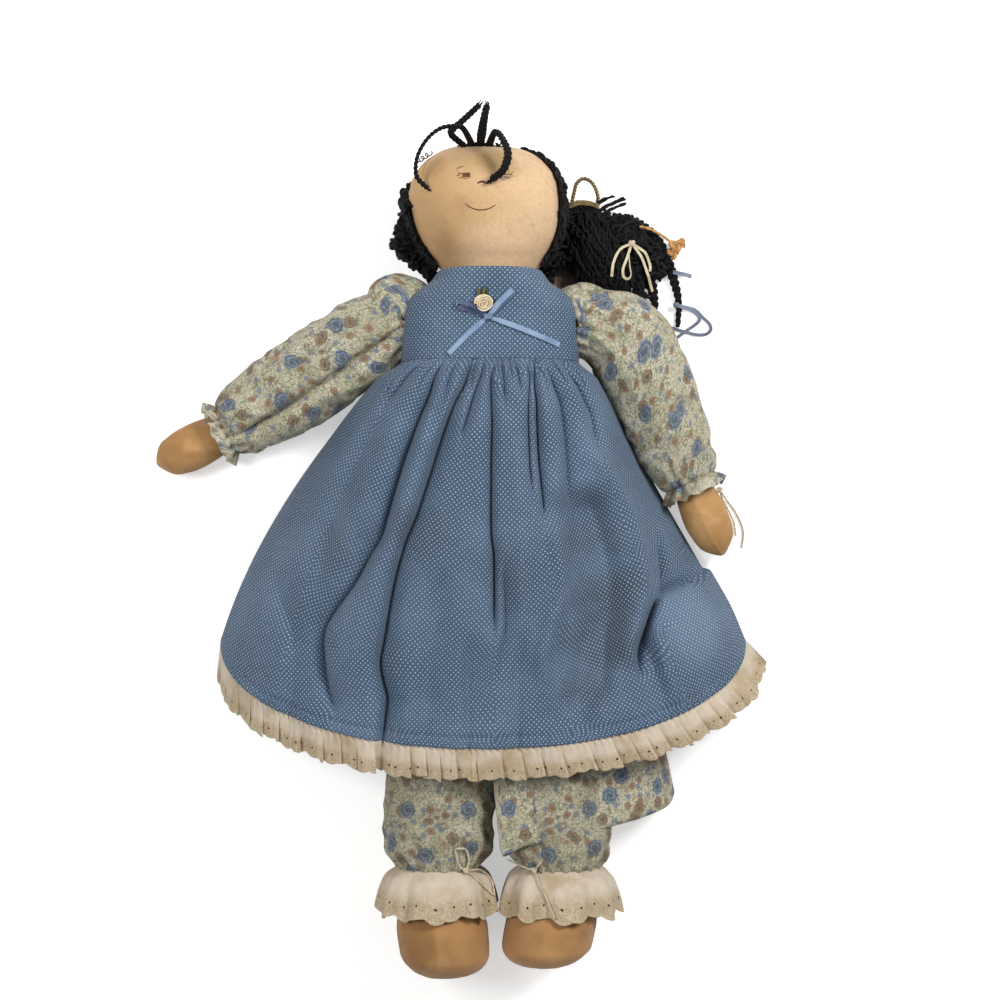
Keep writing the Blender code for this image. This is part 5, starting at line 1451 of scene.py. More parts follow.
def make_face(head):
    skin = skin_of(head)
    brown, rose, dark = looks["ink_brown"], looks["ink_rose"], looks["ink_dark"]
    lines = [
        ("mouth", [(465.6, 203.6), (469, 206.4), (474, 208.8), (480, 209.8), (486.5, 209.2),
                   (492, 207.0), (495.6, 204.8)], 0.00075, brown),
        ("brow_right", [(456.2, 169.6), (458.6, 168.0), (461.2, 166.9), (464.2, 166.3)],
         0.0005, dark),
        ("lid_right", [(457.0, 175.4), (460.0, 174.2), (464, 173.0), (470.5, 173.0)],
         0.0004, dark),
        ("lash_right_a", [(460.8, 174.0), (457.8, 172.2)], 0.0004, dark),
        ("lash_right_b", [(460.0, 175.6), (456.6, 175.8)], 0.0004, dark),
        ("lash_right_c", [(461.8, 177.2), (458.6, 178.4)], 0.0004, dark),
        ("under_right", [(461.0, 177.6), (465, 178.4), (470.6, 177.6)], 0.0004, brown),
        ("nose", [(477.6, 183.6), (479.8, 181.9), (482.6, 181.6), (485, 182.6), (488, 183.8)],
         0.0012, dark),
        ("lid_left", [(496.5, 177.6), (501, 175.4), (507, 174.4), (512.4, 175.2)],
         0.0005, dark),
        ("under_left", [(499.5, 178.8), (505, 179.2), (510.5, 177.6)], 0.0005, rose),
        ("lash_left_a", [(507.6, 173.6), (509.8, 170.6)], 0.0004, dark),
        ("lash_left_b", [(510.2, 174.2), (513.4, 172.0)], 0.0004, dark),
        ("lash_left_c", [(511.2, 176.2), (514.6, 176.2)], 0.0004, rose),
        ("temple_line", [(430.4, 157.8), (426.2, 163.2), (423.6, 170.4), (422.8, 176.6)],
         0.0011, looks["ink_faint"]),
    ]
    for name, pixels, width, look in lines:
        stroke(f"face_{name}", skin, pixels, width, look)
    patch(skin, "face_eye_right", [(462.6, 173.6), (470.2, 173.0), (470.4, 177.0), (462.4, 177.3)],
          looks["ink_brown"])
    loops = []
    for k in range(44):
        t = k / 43
        turn = 2 * pi * 3.2 * t
        start, way = ray_at(417.5 + 13 * t + 2.4 * math.cos(turn),
                            161.5 - 8.5 * t - 2.0 * math.sin(turn))
        loops.append(tuple(start + way * ((0.058 - start.z) / way.z)))
    thread = yarns("temple_thread", [smooth_route(loops, 0.0004)], [0.00042], looks["thread"], 6)
    dress(thread, "head", "muslin")
    patch(skin, "face_eye_left", [(500.4, 176.3), (508.6, 175.5), (510.4, 177.4), (501.2, 178.4)],
          looks["ink_rose"])


def patch(skin, name, corners, look):
    """A filled shape on the face, as a small grid that follows the cloth."""
    count = 9
    a, b, c, d = (np.array(p) for p in corners)
    rows = []
    for i in np.linspace(0, 1, count):
        left = a + (d - a) * i
        right = b + (c - b) * i
        row = []
        for j in np.linspace(0, 1, count):
            px, py = left + (right - left) * j
            place, _ = on_skin(skin, px, py, 0.00013)
            row.append(tuple(place))
        rows.append(row)
    made = loft(name, rows, look, closed=False)
    thicken(made, 0.0001)
    dress(made, "head", "muslin")


# Yarn: tubes, braids and knots
def frames(line, up=(0, 0, 1)):
    """Two directions square to a route at each of its points, with no sudden turns."""
    line = np.asarray(line, float)
    along = np.gradient(line, axis=0)
    along /= np.linalg.norm(along, axis=1, keepdims=True) + 1e-12
    first = np.cross(along[0], up)
    if np.linalg.norm(first) < 0.2:
        first = np.cross(along[0], (1, 0, 0))
    side = first / np.linalg.norm(first)
    sides = []
    for way in along:
        side = side - way * np.dot(side, way)
        side /= np.linalg.norm(side)
        sides.append(side)
    sides = np.array(sides)
    return sides, np.cross(sides, along)


def yarns(name, routes, radii, look, sides=6):
    """One mesh of round yarns along many routes, closed at their ends."""
    points = []
    faces = []
    uv = []
    for line, radius in zip(routes, radii):
        line = np.asarray(line, float)
        radius = np.broadcast_to(radius, (len(line),)).copy()
        radius[0] *= 0.6
        radius[-1] *= 0.45
        across, up = frames(line)
        start = len(points)
        reach = hem_arc(line)
        turn = np.linspace(0, 2 * pi, sides, endpoint=False)
        for k, place in enumerate(line):
            for angle in turn:
                points.append(
                    place + radius[k] * (across[k] * math.cos(angle) + up[k] * math.sin(angle))
                )
        made, corners = grid_faces(len(line), sides, True, start)
        faces += made
        thick = 2 * pi * radius.max() / sides
        uv += [(reach[i], thick * j) for i, j in corners]
        for end in (0, len(line) - 1):
            points.append(line[end])
            for j in range(sides):
                k = (j + 1) % sides
                faces.append((start + end * sides + k, start + end * sides + j, len(points) - 1))
                uv += [(reach[end], 0), (reach[end], thick), (reach[end], 0)]
    made = piece(name, points, faces, look, uv)
    turn_outwards(made)
    return made


def braid_routes(line, half, pitch, flat=0.62):
    """The three yarns of a braid along a route whose half width may change."""
    reach = hem_arc(line)
    half = np.interp(reach / reach[-1], np.linspace(0, 1, len(half)), half)
    across, up = frames(line)
    routes = []
    for k in range(3):
        phase = 2 * pi * reach / pitch + 2 * pi * k / 3
        aside = half * 0.60 * np.sin(phase)
        high = half * 0.46 * flat * np.sin(2 * phase)
        routes.append(line + across * aside[:, None] + up * high[:, None])
    return routes, half * 0.45


def braid(name, points, half, pitch, look, tuft=0.0):
    """A three-strand braid; its end frays a little where a tuft is asked for."""
    line = smooth_route(points, min(0.0006, pitch / 9))
    half = np.atleast_1d(half) * np.ones(2) if np.size(half) == 1 else np.asarray(half)
    routes, radius = braid_routes(line, half, pitch)
    radii = [radius] * 3
    routes = list(routes)
    radii = list(radii)
    if tuft:
        way = line[-1] - line[-4]
        way /= np.linalg.norm(way)
        for _ in range(9):
            spread = chance.uniform(-1, 1, 3) * 0.55
            tip = line[-1] + (way + spread) * tuft
            start = line[-3] + chance.uniform(-1, 1, 3) * radius[-1] * 0.6
            routes.append(smooth_route([start, (start + tip) / 2 + spread * tuft * 0.2, tip],
                                       0.0006))
            radii.append(0.00028)
    return yarns(name, routes, radii, look, 7), line


# Where things lie
def top_at(skins, x, y):
    """The height of the highest skin under a place, or the floor."""
    above = Vector((x, y, 0.13))
    hits = [skin.ray_cast(above, Vector((0, 0, -1)))[0] for skin in skins]
    return max([hit.z for hit in hits if hit] + [0.0])


def lie(plan, skins, half, drop=0.9, step=0.0008):
    """A route over a plan that rests on what is under it and comes down gently."""
    line = smooth_route([(x, y, 0) for x, y in plan], step)
    around_it = [(0, 0), (half, 0), (-half, 0), (0, half), (0, -half)]
    heights = np.array([
        max(top_at(skins, x + dx, y + dy) for dx, dy in around_it) + half + 0.00015
        for x, y, _ in line
    ])
    reach = hem_arc(line)
    over = np.array([np.max(heights - drop * np.abs(reach - at)) for at in reach])
    soft = np.convolve(np.pad(over, 4, mode="edge"), np.ones(9) / 9, "valid")
    line[:, 2] = np.maximum(soft, heights)
    return line


def ribbon(name, line, width, thick, look, ways=None):
    """A flat ribbon along a route: four corners to each ring, closed at its ends."""
    line = np.asarray(line, float)
    across, up = frames(line)
    if ways is not None:
        up = np.asarray(ways, float)
        along = np.gradient(line, axis=0)
        across = np.cross(along, up)
        across /= np.linalg.norm(across, axis=1, keepdims=True) + 1e-12
        up = np.cross(across, along)
        up /= np.linalg.norm(up, axis=1, keepdims=True) + 1e-12
    wide = np.broadcast_to(width, (len(line),))[:, None] / 2
    corners = [(-1, -1), (1, -1), (1, 1), (-1, 1)]
    rows = np.stack(
        [line + across * wide * a + up * (thick / 2 * b) for a, b in corners], axis=1
    )
    reach = hem_arc(line)
    sides = wide * np.array([[-1, 1, 1, -1, -1]])
    uv = np.stack([np.broadcast_to(reach[:, None], sides.shape), sides], axis=2)
    made = loft(name, rows, look, caps=(True, True), uv=uv)
    made.data.shade_flat()
    return made


def length_of(line):
    return float(hem_arc(np.asarray(line, float))[-1])


def declare_cord(line, diameter):
    line = np.asarray(line, float)
    keep = np.unique(np.linspace(0, len(line) - 1, min(len(line), 40)).round().astype(int))
    route = [tuple(float(v) for v in line[k]) for k in keep]
    length = length_of(route)
    if length < max(0.03, 6 * diameter):
        return


# The wig, its loose curls and the pigtail
def wild(line, size, amount, seed):
    """A route shaken by a noise, so that yarn looks crimped."""
    line = np.asarray(line, float)
    shake = np.stack([crumple(line, size, seed + k * 7) for k in range(3)], axis=-1)
    return line + shake * amount


def hugging(points):
    """How far the wig is drawn in beside the temple, where it stops short of the face."""
    border = points[:, 1] + 0.71 * points[:, 2] + crumple(points, 0.006, 33) * 0.0022
    share = ease(border, 0.1165, 0.1225) * ease(-points[:, 0], 0.002, 0.016)
    inward = np.array([0.0, 0.055, 0.042]) - points
    inward /= np.linalg.norm(inward, axis=1, keepdims=True)
    return inward * (share * 0.0105)[:, None]


def make_wig_core():
    """The wig's base, from the solid that it replaces."""
    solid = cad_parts["hair_cap"]
    made = bpy.data.objects.new("wig_base", solid.data.copy())
    bpy.context.scene.collection.objects.link(made)
    made.data.materials.clear()
    made.data.materials.append(looks["yarn"])
    step = made.modifiers.new("remesh", "REMESH")
    step.mode = "VOXEL"
    step.voxel_size = 0.0011
    settle(made)
    points = np.array([v.co for v in made.data.vertices])
    ways = np.array([v.normal for v in made.data.vertices])
    points += ways * (crumple(points, 0.004, 81) * 0.0004 - 0.0006)[:, None]
    points += hugging(points)
    made.data.vertices.foreach_set("co", points.ravel())
    made.data.shade_smooth()
    dress(made, "head", "black_yarn", "hair_cap")
    return node_skin("hair_cap")


def make_wig_yarns(cap):
    routes = []
    radii = []
    for turn in np.linspace(-1, 1, 118):
        angle = -pi / 2 + turn * 2.15 + chance.uniform(-0.01, 0.01)
        route = []
        for y in np.linspace(0.1135, 0.0435, 72):
            share = (y - neckline_y) / 0.080
            _, mid_x, mid_z, half, high = head_oval(max(0.09, share))
            way = Vector((math.cos(angle) * half, 0, math.sin(angle) * high)).normalized()
            start = Vector((mid_x, y, mid_z)) + way * 0.12
            hit, side, _, _ = cap.ray_cast(start, -way)
            near = hit is not None and (hit - Vector((mid_x, y, mid_z))).length < 0.062
            if near and (hit - Vector((mid_x, y, mid_z))).dot(way) > min(half, high) * 0.7:
                route.append(hit - side * 0.00035)
            elif len(route) > 9:
                break
            else:
                route = []
        if len(route) > 9:
            inwards = (Vector((mid_x, route[-1].y, mid_z)) - route[-1]).normalized()
            tip = chance.uniform(0.2, 1.0) * (1.0 if route[-1].z > 0.024 else 0.2)
            for down, inside in ((0.0012, 0.0004), (0.0022, 0.0014), (0.0030, 0.0028)):
                route.append(route[-1] + Vector((0, -down * tip, 0)) + inwards * inside * tip)
            line = smooth_route([tuple(p) for p in route], 0.0011)
            line = wild(line, 0.0036, 0.0028, 90 + turn * 3)
            line += hugging(line)
            line[:, 2] = np.maximum(line[:, 2], 0.0008)
            routes.append(line)
            radii.append(0.0009)
    lock = [(0.0345, 0.088, 0.0235), (0.0385, 0.0855, 0.0205), (0.044, 0.0840, 0.0185),
            (0.0492, 0.0822, 0.0176)]
    for k in range(16):
        angle = 2 * pi * k / 16
        spread = np.array([0, math.cos(angle) * 0.0035, math.sin(angle) * 0.0030])
        bent = [np.array(p) + spread * s for p, s in zip(lock, (1.3, 1.15, 1.0, 0.85))]
        routes.append(wild(smooth_route(bent, 0.0009), 0.004, 0.0005, 120 + k))
        radii.append(0.0008)
    made = yarns("wig_yarns", routes, radii, looks["yarn"], 6)
    dress(made, "head", "black_yarn")


def curled(centre, half, number, seed, spread=(0.3, 0.85), span=(60, 130), yarn=0.0011,
           winds=(1.2, 3.0)):
    """Springy yarns that wind about a route, each over its own part of it."""
    total = len(centre)
    across, up = frames(centre)
    routes = []
    radii = []
    for k in range(number):
        count = int(chance.uniform(*span))
        start = int(chance.uniform(-0.2 * count, total - 0.6 * count))
        start, stop = max(0, start), min(total, start + count)
        here = slice(start, stop)
        count = stop - start
        if count < 12:
            continue
        turns = chance.uniform(*winds) * chance.choice([-1, 1])
        angle = np.linspace(0, 2 * pi * turns, count) + chance.uniform(0, 2 * pi)
        out = half[here] * chance.uniform(*spread)
        line = centre[here] + across[here] * (np.cos(angle) * out)[:, None]
        line = line + up[here] * (np.sin(angle) * out)[:, None]
        line = wild(line, 0.0062, 0.0056, seed + k)
        line = wild(line, 0.0026, 0.0009, seed + k + 0.5)
        line[:, 2] = np.maximum(line[:, 2], 0.0012)
        routes.append(smooth_route(line[::2], 0.0009))
        radii.append(yarn * chance.uniform(0.9, 1.1))
    return routes, radii


def thick_route(table, count):
    """A dense route and its half width from a table of (x, y, z, half) rows."""
    dense = read(np.column_stack([np.arange(len(table)), np.asarray(table, float)]),
                 np.linspace(0, len(table) - 1, count))
    return dense[:, :3], dense[:, 3]


def make_side_curls():
    """Springy curls of yarn that stand out at the doll's right of the face."""
    table = [
        (-0.0500, 0.0850, 0.0400, 0.0012), (-0.0512, 0.0820, 0.0400, 0.0026),
        (-0.0520, 0.0770, 0.0395, 0.0042), (-0.0515, 0.0691, 0.0385, 0.0044),
        (-0.0535, 0.0634, 0.0370, 0.0056), (-0.0530, 0.0565, 0.0350, 0.0074),
        (-0.0528, 0.0521, 0.0330, 0.0090), (-0.0480, 0.0476, 0.0300, 0.0060),
        (-0.0425, 0.0426, 0.0270, 0.0044), (-0.0375, 0.0362, 0.0230, 0.0034),
        (-0.0345, 0.0305, 0.0190, 0.0028),
    ]
    centre, half = thick_route(table, 260)
    routes, radii = curled(centre, half, 130, 140, (0.1, 0.95), (26, 60), 0.0013, (0.6, 1.5))
    made = yarns("side_curl_yarns", routes, radii, looks["yarn"], 6)
    dress(made, "head", "black_yarn", "side_curls")
    table = [
        (0.0450, 0.0830, 0.0240, 0.0040), (0.0455, 0.0720, 0.0200, 0.0052),
        (0.0430, 0.0600, 0.0170, 0.0060), (0.0400, 0.0500, 0.0150, 0.0062),
        (0.0375, 0.0420, 0.0130, 0.0050), (0.0355, 0.0330, 0.0110, 0.0040),
    ]
    centre, half = thick_route(table, 160)
    routes, radii = curled(centre, half, 46, 600, (0.1, 0.9), (60, 110), 0.0010)
    made = yarns("neck_yarns", routes, radii, looks["yarn"], 6)
    dress(made, "head", "black_yarn")
    # Painted shade: a flat mat of brown yarn laid on the floor by the nape, its colour standing for
    # the shade between the hair, the collar and the sleeve.
    table = [
        (0.0340, 0.0405, 0.0030, 0.0075), (0.0430, 0.0385, 0.0030, 0.0115),
        (0.0510, 0.0350, 0.0030, 0.0120), (0.0600, 0.0320, 0.0030, 0.0060),
    ]
    centre, half = thick_route(table, 160)
    routes, radii = curled(centre, half, 140, 700, (0.05, 1.0), (60, 120), 0.0009)
    flattened = []
    for route in routes:
        route = np.array(route)
        route[:, 2] = 0.0008 + np.abs(route[:, 2]) * 0.25
        flattened.append(route)
    made = yarns("nape_shade_yarn", flattened, radii, looks["shade_yarn"], 5)
    dress(made, "head", "black_yarn")


pigtail_shares = [
    (0.0, 0.0, 0.26), (0.12, 0.08, 0.66), (0.30, 0.24, 0.98), (0.52, 0.44, 1.0),
    (0.74, 0.66, 0.94), (0.90, 0.80, 0.72), (1.0, 0.86, 0.38),
]


def make_pigtail():
    """A thick bunch of crinkled yarn, gathered at its tie."""
    core = np.array([
        (tie[0] + 0.036 * aside, tie[1] - 0.056 * share, min(0.022, 0.0135 * width),
         0.018 * width)
        for share, aside, width in pigtail_shares
    ])
    core[0, 2] = tie[2]
    places = np.linspace(0, len(core) - 1, 120)
    dense = read(np.column_stack([np.arange(len(core)), core]), places)
    centre, half = dense[:, :3], dense[:, 3]
    across, up = frames(centre)
    inner = []
    for k in range(120):
        turn = np.linspace(0, 2 * pi, 40, endpoint=False)
        ring = centre[k] + across[k] * (np.cos(turn) * half[k] * 0.86)[:, None]
        ring = ring + up[k] * (np.sin(turn) * half[k] * 0.62)[:, None]
        inner.append(ring)
    inner = np.array(inner)
    inner += normals_of(inner, True) * (crumple(inner, 0.005, 171) * 0.0008)[..., None]
    inner[:, :, 2] = np.maximum(inner[:, :, 2], 0.0012)
    core_made = loft("pigtail_core", inner, looks["yarn"], caps=(True, True))
    dress(core_made, "pigtail", "black_yarn")
    routes = []
    radii = []
    for k in range(150):
        angle = chance.uniform(0, 2 * pi)
        if k < 110:
            angle = chance.uniform(-0.15 * pi, 1.15 * pi)
        reach = chance.uniform(0.62, 0.97)
        stop = int(120 * chance.uniform(0.72, 1.0))
        drift = chance.uniform(-0.5, 0.5)
        turn = angle + drift * np.linspace(0, 1, stop)
        line = centre[:stop] + across[:stop] * (np.cos(turn) * half[:stop] * reach)[:, None]
        line = line + up[:stop] * (np.sin(turn) * half[:stop] * reach * 0.75)[:, None]
        line = smooth_route(line[::4], 0.0011)
        crimp = np.arange(len(line)) * 0.0011 * 2 * pi / chance.uniform(0.0045, 0.0065)
        side, rise = frames(line)
        grow = ease(np.arange(len(line)), 0, 12)[:, None] * 0.00075
        phase = chance.uniform(0, 6)
        line = line + side * np.sin(crimp + phase)[:, None] * grow
        line = line + rise * np.cos(crimp + phase)[:, None] * grow * 0.8
        line = wild(line, 0.009, 0.0022, 200 + k)
        line[:, 2] = np.maximum(line[:, 2], 0.0010)
        routes.append(line)
        radii.append(chance.uniform(0.00068, 0.00088))
    left_side = thick_route([
        (0.0515, 0.0790, 0.0170, 0.0040), (0.0505, 0.0690, 0.0150, 0.0060),
        (0.0515, 0.0560, 0.0130, 0.0068), (0.0555, 0.0450, 0.0115, 0.0068),
        (0.0620, 0.0340, 0.0095, 0.0050),
    ], 170)
    right_side = thick_route([
        (0.0640, 0.0775, 0.0150, 0.0036), (0.0735, 0.0720, 0.0130, 0.0058),
        (0.0830, 0.0650, 0.0110, 0.0068), (0.0925, 0.0565, 0.0085, 0.0064),
        (0.1010, 0.0470, 0.0062, 0.0050), (0.1095, 0.0360, 0.0045, 0.0034),
    ], 170)
    between = thick_route([
        (0.0880, 0.0560, 0.0100, 0.0040), (0.0915, 0.0470, 0.0085, 0.0052),
        (0.0938, 0.0380, 0.0070, 0.0046), (0.0960, 0.0300, 0.0060, 0.0032),
        (0.0990, 0.0225, 0.0050, 0.0020),
    ], 120)
    beside = thick_route([
        (0.0880, 0.0735, 0.0100, 0.0026), (0.0925, 0.0690, 0.0095, 0.0036),
        (0.0990, 0.0586, 0.0085, 0.0044), (0.1055, 0.0478, 0.0075, 0.0042),
        (0.1110, 0.0390, 0.0060, 0.0028),
    ], 150)
    groups = ((left_side, 46, 800), (right_side, 50, 900), (between, 34, 1000),
              (beside, 36, 1100))
    for (centre, half), number, seed in groups:
        more, more_radii = curled(centre, half, number, seed, (0.1, 0.9), (80, 150), 0.0012)
        routes += more
        radii += more_radii
    tufts = [((0.066, 0.0785, 0.017), (0.0720, 0.0845, 0.0155), (0.0800, 0.0880, 0.012)),
             ((0.068, 0.0765, 0.016), (0.0770, 0.0825, 0.0150), (0.0868, 0.0868, 0.011)),
             ((0.070, 0.0745, 0.015), (0.0790, 0.0805, 0.0140), (0.0885, 0.0835, 0.010)),
             ((0.078, 0.0710, 0.013), (0.0835, 0.0745, 0.0110), (0.0872, 0.0760, 0.008))]
    for points in tufts:
        for k in range(3):
            moved = np.array(points) + chance.uniform(-0.0008, 0.0008, (3, 3))
            routes.append(wild(smooth_route(moved, 0.0008), 0.004, 0.0006, 400 + k))
            radii.append(0.00075)
    made = yarns("pigtail_yarns", routes, radii, looks["yarn"], 6)
    dress(made, "pigtail", "black_yarn", "pigtail")
    skins = [skin_of(made), skin_of(core_made)]
    wrap = []
    for k in range(3):
        plan = [(0.0500, 0.0790 + 0.0010 * k), (0.0560, 0.0812 + 0.0012 * k),
                (0.0630, 0.0816 + 0.0012 * k), (0.0700, 0.0790 + 0.0010 * k)]
        wrap.append(lie(plan, skins, 0.0005, 0.9))
    band = yarns("pigtail_tie_band", wrap, [0.0007] * 3, looks["olive"], 7)
    dress(band, "pigtail", "tan_cord")
    return skins


cord_loop_route = [
    (0.0524, 0.0813, 0.0224), (0.0526, 0.0836, 0.0240), (0.0535, 0.0880, 0.0256),
    (0.0552, 0.0940, 0.0260), (0.0600, 0.0970, 0.0262), (0.0657, 0.0939, 0.0240),
    (0.0692, 0.0872, 0.0180), (0.0690, 0.0830, 0.0140),
]


def twisted(name, line, thick, look, pitch=0.0028):
    """A two-ply cord."""
    reach = hem_arc(line)
    across, up = frames(line)
    routes = []
    for k in range(2):
        angle = 2 * pi * reach / pitch + pi * k
        routes.append(
            line + across * (np.cos(angle) * thick * 0.24)[:, None]
            + up * (np.sin(angle) * thick * 0.24)[:, None]
        )
    return yarns(name, routes, [thick * 0.27] * 2, look, 7)


def make_cord_loop():
    line = smooth_route(cord_loop_route, 0.0005)
    made = twisted("tan_cord_loop", line, 0.0027, looks["olive"], 0.0045)
    dress(made, "pigtail", "tan_cord", "pigtail_cord_loop")
    declare_cord(line, 0.0026)


crown_braids = {
    "crown_braid_short": [
        (-0.0165, 0.1125, 0.0620), (-0.0209, 0.1140, 0.0660), (-0.0239, 0.1170, 0.0680),
        (-0.0220, 0.1205, 0.0690), (-0.0177, 0.1240, 0.0700), (-0.0115, 0.1295, 0.0710),
        (-0.0060, 0.1345, 0.0720),
    ],
    "crown_braid_left": [
        (-0.0112, 0.1135, 0.0620), (-0.0122, 0.1165, 0.0700), (-0.0163, 0.1185, 0.0780),
        (-0.0217, 0.1189, 0.0830), (-0.0295, 0.1171, 0.0860), (-0.0367, 0.1113, 0.0880),
        (-0.0421, 0.1036, 0.0870), (-0.0447, 0.0963, 0.0840), (-0.0443, 0.0885, 0.0800),
        (-0.0383, 0.0822, 0.0775),
    ],
    "crown_braid_upright": [
        (-0.0060, 0.1140, 0.0620), (-0.0052, 0.1180, 0.0690), (-0.0037, 0.1240, 0.0750),
        (-0.0017, 0.1323, 0.0800),
    ],
    "crown_braid_right": [
        (-0.0002, 0.1135, 0.0620), (0.0012, 0.1160, 0.0720), (0.0036, 0.1162, 0.0800),
        (0.0081, 0.1095, 0.0880), (0.0111, 0.1003, 0.0920), (0.0081, 0.0907, 0.0915),
        (0.0008, 0.0851, 0.0895),
    ],
}


def make_crown_braids(head_skin_made):
    widths = {
        "crown_braid_short": [0.9, 1.0, 1.0, 0.95, 0.9],
        "crown_braid_left": [1.0, 0.85, 0.80, 0.80, 0.9],
        "crown_braid_upright": [1.0, 1.35, 1.15, 1.0],
        "crown_braid_right": [1.1, 0.95, 1.1, 1.25, 1.1],
    }
    for name, route in crown_braids.items():
        foot, way, _, _ = head_skin_made.find_nearest(Vector(route[0]))
        start = foot - way * 0.0004
        points = [tuple(start), tuple(start + way * 0.0016), *route[2:]]
        half = [0.0022 * share for share in widths[name]]
        made, line = braid(f"{name}_yarn", points, half, 0.0088, looks["yarn"], 0.0022)
        dress(made, "head", "black_yarn", name)
        declare_cord(line, 0.0034)
    routes = []
    for k in range(30):
        x = -0.018 + 0.026 * k / 29
        foot, way, _, _ = head_skin_made.find_nearest(Vector((x, 0.1145, 0.060)))
        foot = np.array(foot)
        tip = foot + np.array([chance.uniform(-0.006, 0.006), chance.uniform(0, 0.002),
                               chance.uniform(-0.010, 0.002)])
        middle = (foot + tip) / 2 + np.array(way) * 0.0012
        routes.append(smooth_route([foot, middle, tip], 0.0008))
    made = yarns("crown_root_yarns", routes, [0.0006] * 30, looks["yarn"], 6)
    dress(made, "head", "black_yarn")


hanging_braids = {
    "pigtail_braid_short": (
        [(0.078, 0.060), (0.0889, 0.0604), (0.096, 0.0525), (0.1014, 0.0408),
         (0.1055, 0.0281), (0.1076, 0.0159)],
        0.0052, [0.96, 0.96, 1.0, 0.92, 0.70, 0.36], 0.0120,
    ),
    "pigtail_braid_long": (
        [(0.079, 0.074), (0.090, 0.0735), (0.100, 0.069), (0.1085, 0.0605),
         (0.1151, 0.0471), (0.1198, 0.0334), (0.1226, 0.020), (0.1221, 0.0045)],
        0.0038, [0.90, 0.90, 0.95, 1.0, 1.0, 0.80, 0.52, 0.34], 0.0125,
    ),
}


def make_hanging_braids():
    skins = []
    for name, (plan, radius, shares, pitch) in hanging_braids.items():
        half = [radius * share for share in shares]
        rise = [0.011, 0.0066] + [0] * (len(plan) - 2)
        points = [(x, y, h * 0.88 + up) for (x, y), h, up in zip(plan, half, rise)]
        line = smooth_route(points, 0.0009)
        reach = hem_arc(line)
        own = np.interp(reach / reach[-1], np.linspace(0, 1, len(half)), half)
        routes, thick = braid_routes(line, half, pitch, 1.0)
        strands = []
        radii = []
        for route in routes:
            side, up = frames(route)
            for k in range(5):
                angle = 2 * pi * k / 5 + reach * 2 * pi / 0.016
                spot = route + side * (np.cos(angle) * thick * 0.55)[:, None]
                spot = spot + up * (np.sin(angle) * thick * 0.55)[:, None]
                spot[:, 2] = np.maximum(spot[:, 2], 0.0009)
                strands.append(wild(spot, 0.005, 0.0003, 430 + k))
                radii.append(np.maximum(0.0006, thick * 0.40))
        made = yarns(f"{name}_yarn", strands, radii, looks["yarn"], 6)
        dress(made, "pigtail", "black_yarn", name)
        declare_cord(line, 2 * float(np.median(own)) * 0.96)
        skins.append(skin_of(made))
    return skins


def knot(name, place, radius, thick, look):
    """A small tied knot."""
    t = np.linspace(0, 2 * pi, 90)
    line = np.stack([
        np.sin(t) + 2 * np.sin(2 * t), np.cos(t) - 2 * np.cos(2 * t), -1.2 * np.sin(3 * t)
    ], axis=1) * (radius - thick / 2) / 3 + np.asarray(place, float)
    return yarns(name, [line], [thick / 2], look, 8)


def make_knotted(node, place, plans, thick, look, slot, body, skins, flat, radius, names):
    """A knot with its loops and tails, each laid on what is under it."""
    x, y = place
    height = max(
        top_at(skins, x + dx, y + dy)
        for dx, dy in ((0, 0), (radius, 0), (-radius, 0), (0, radius), (0, -radius))
    ) + radius * 0.8
    made = knot(f"{node}_knot", (x, y, height), radius, thick * 1.15, look)
    dress(made, body, slot, node)
    for number, (name, plan) in enumerate(zip(names, plans)):
        line = lie([place, *plan], skins, thick / 2 * (0.4 if flat else 1), 0.75)
        line[:, 2] += 0.0004 * number
        reach = hem_arc(line)
        line[:, 2] += (height - line[0, 2]) * np.exp(-((reach / (radius * 2.2)) ** 2))
        if flat:
            part = ribbon(f"{node}_{name}", line, thick, 0.0003, look)
        else:
            part = twisted(f"{node}_{name}", line, thick, look, 0.0024)
        dress(part, body, slot)
        declare_cord(line, thick)
    return made


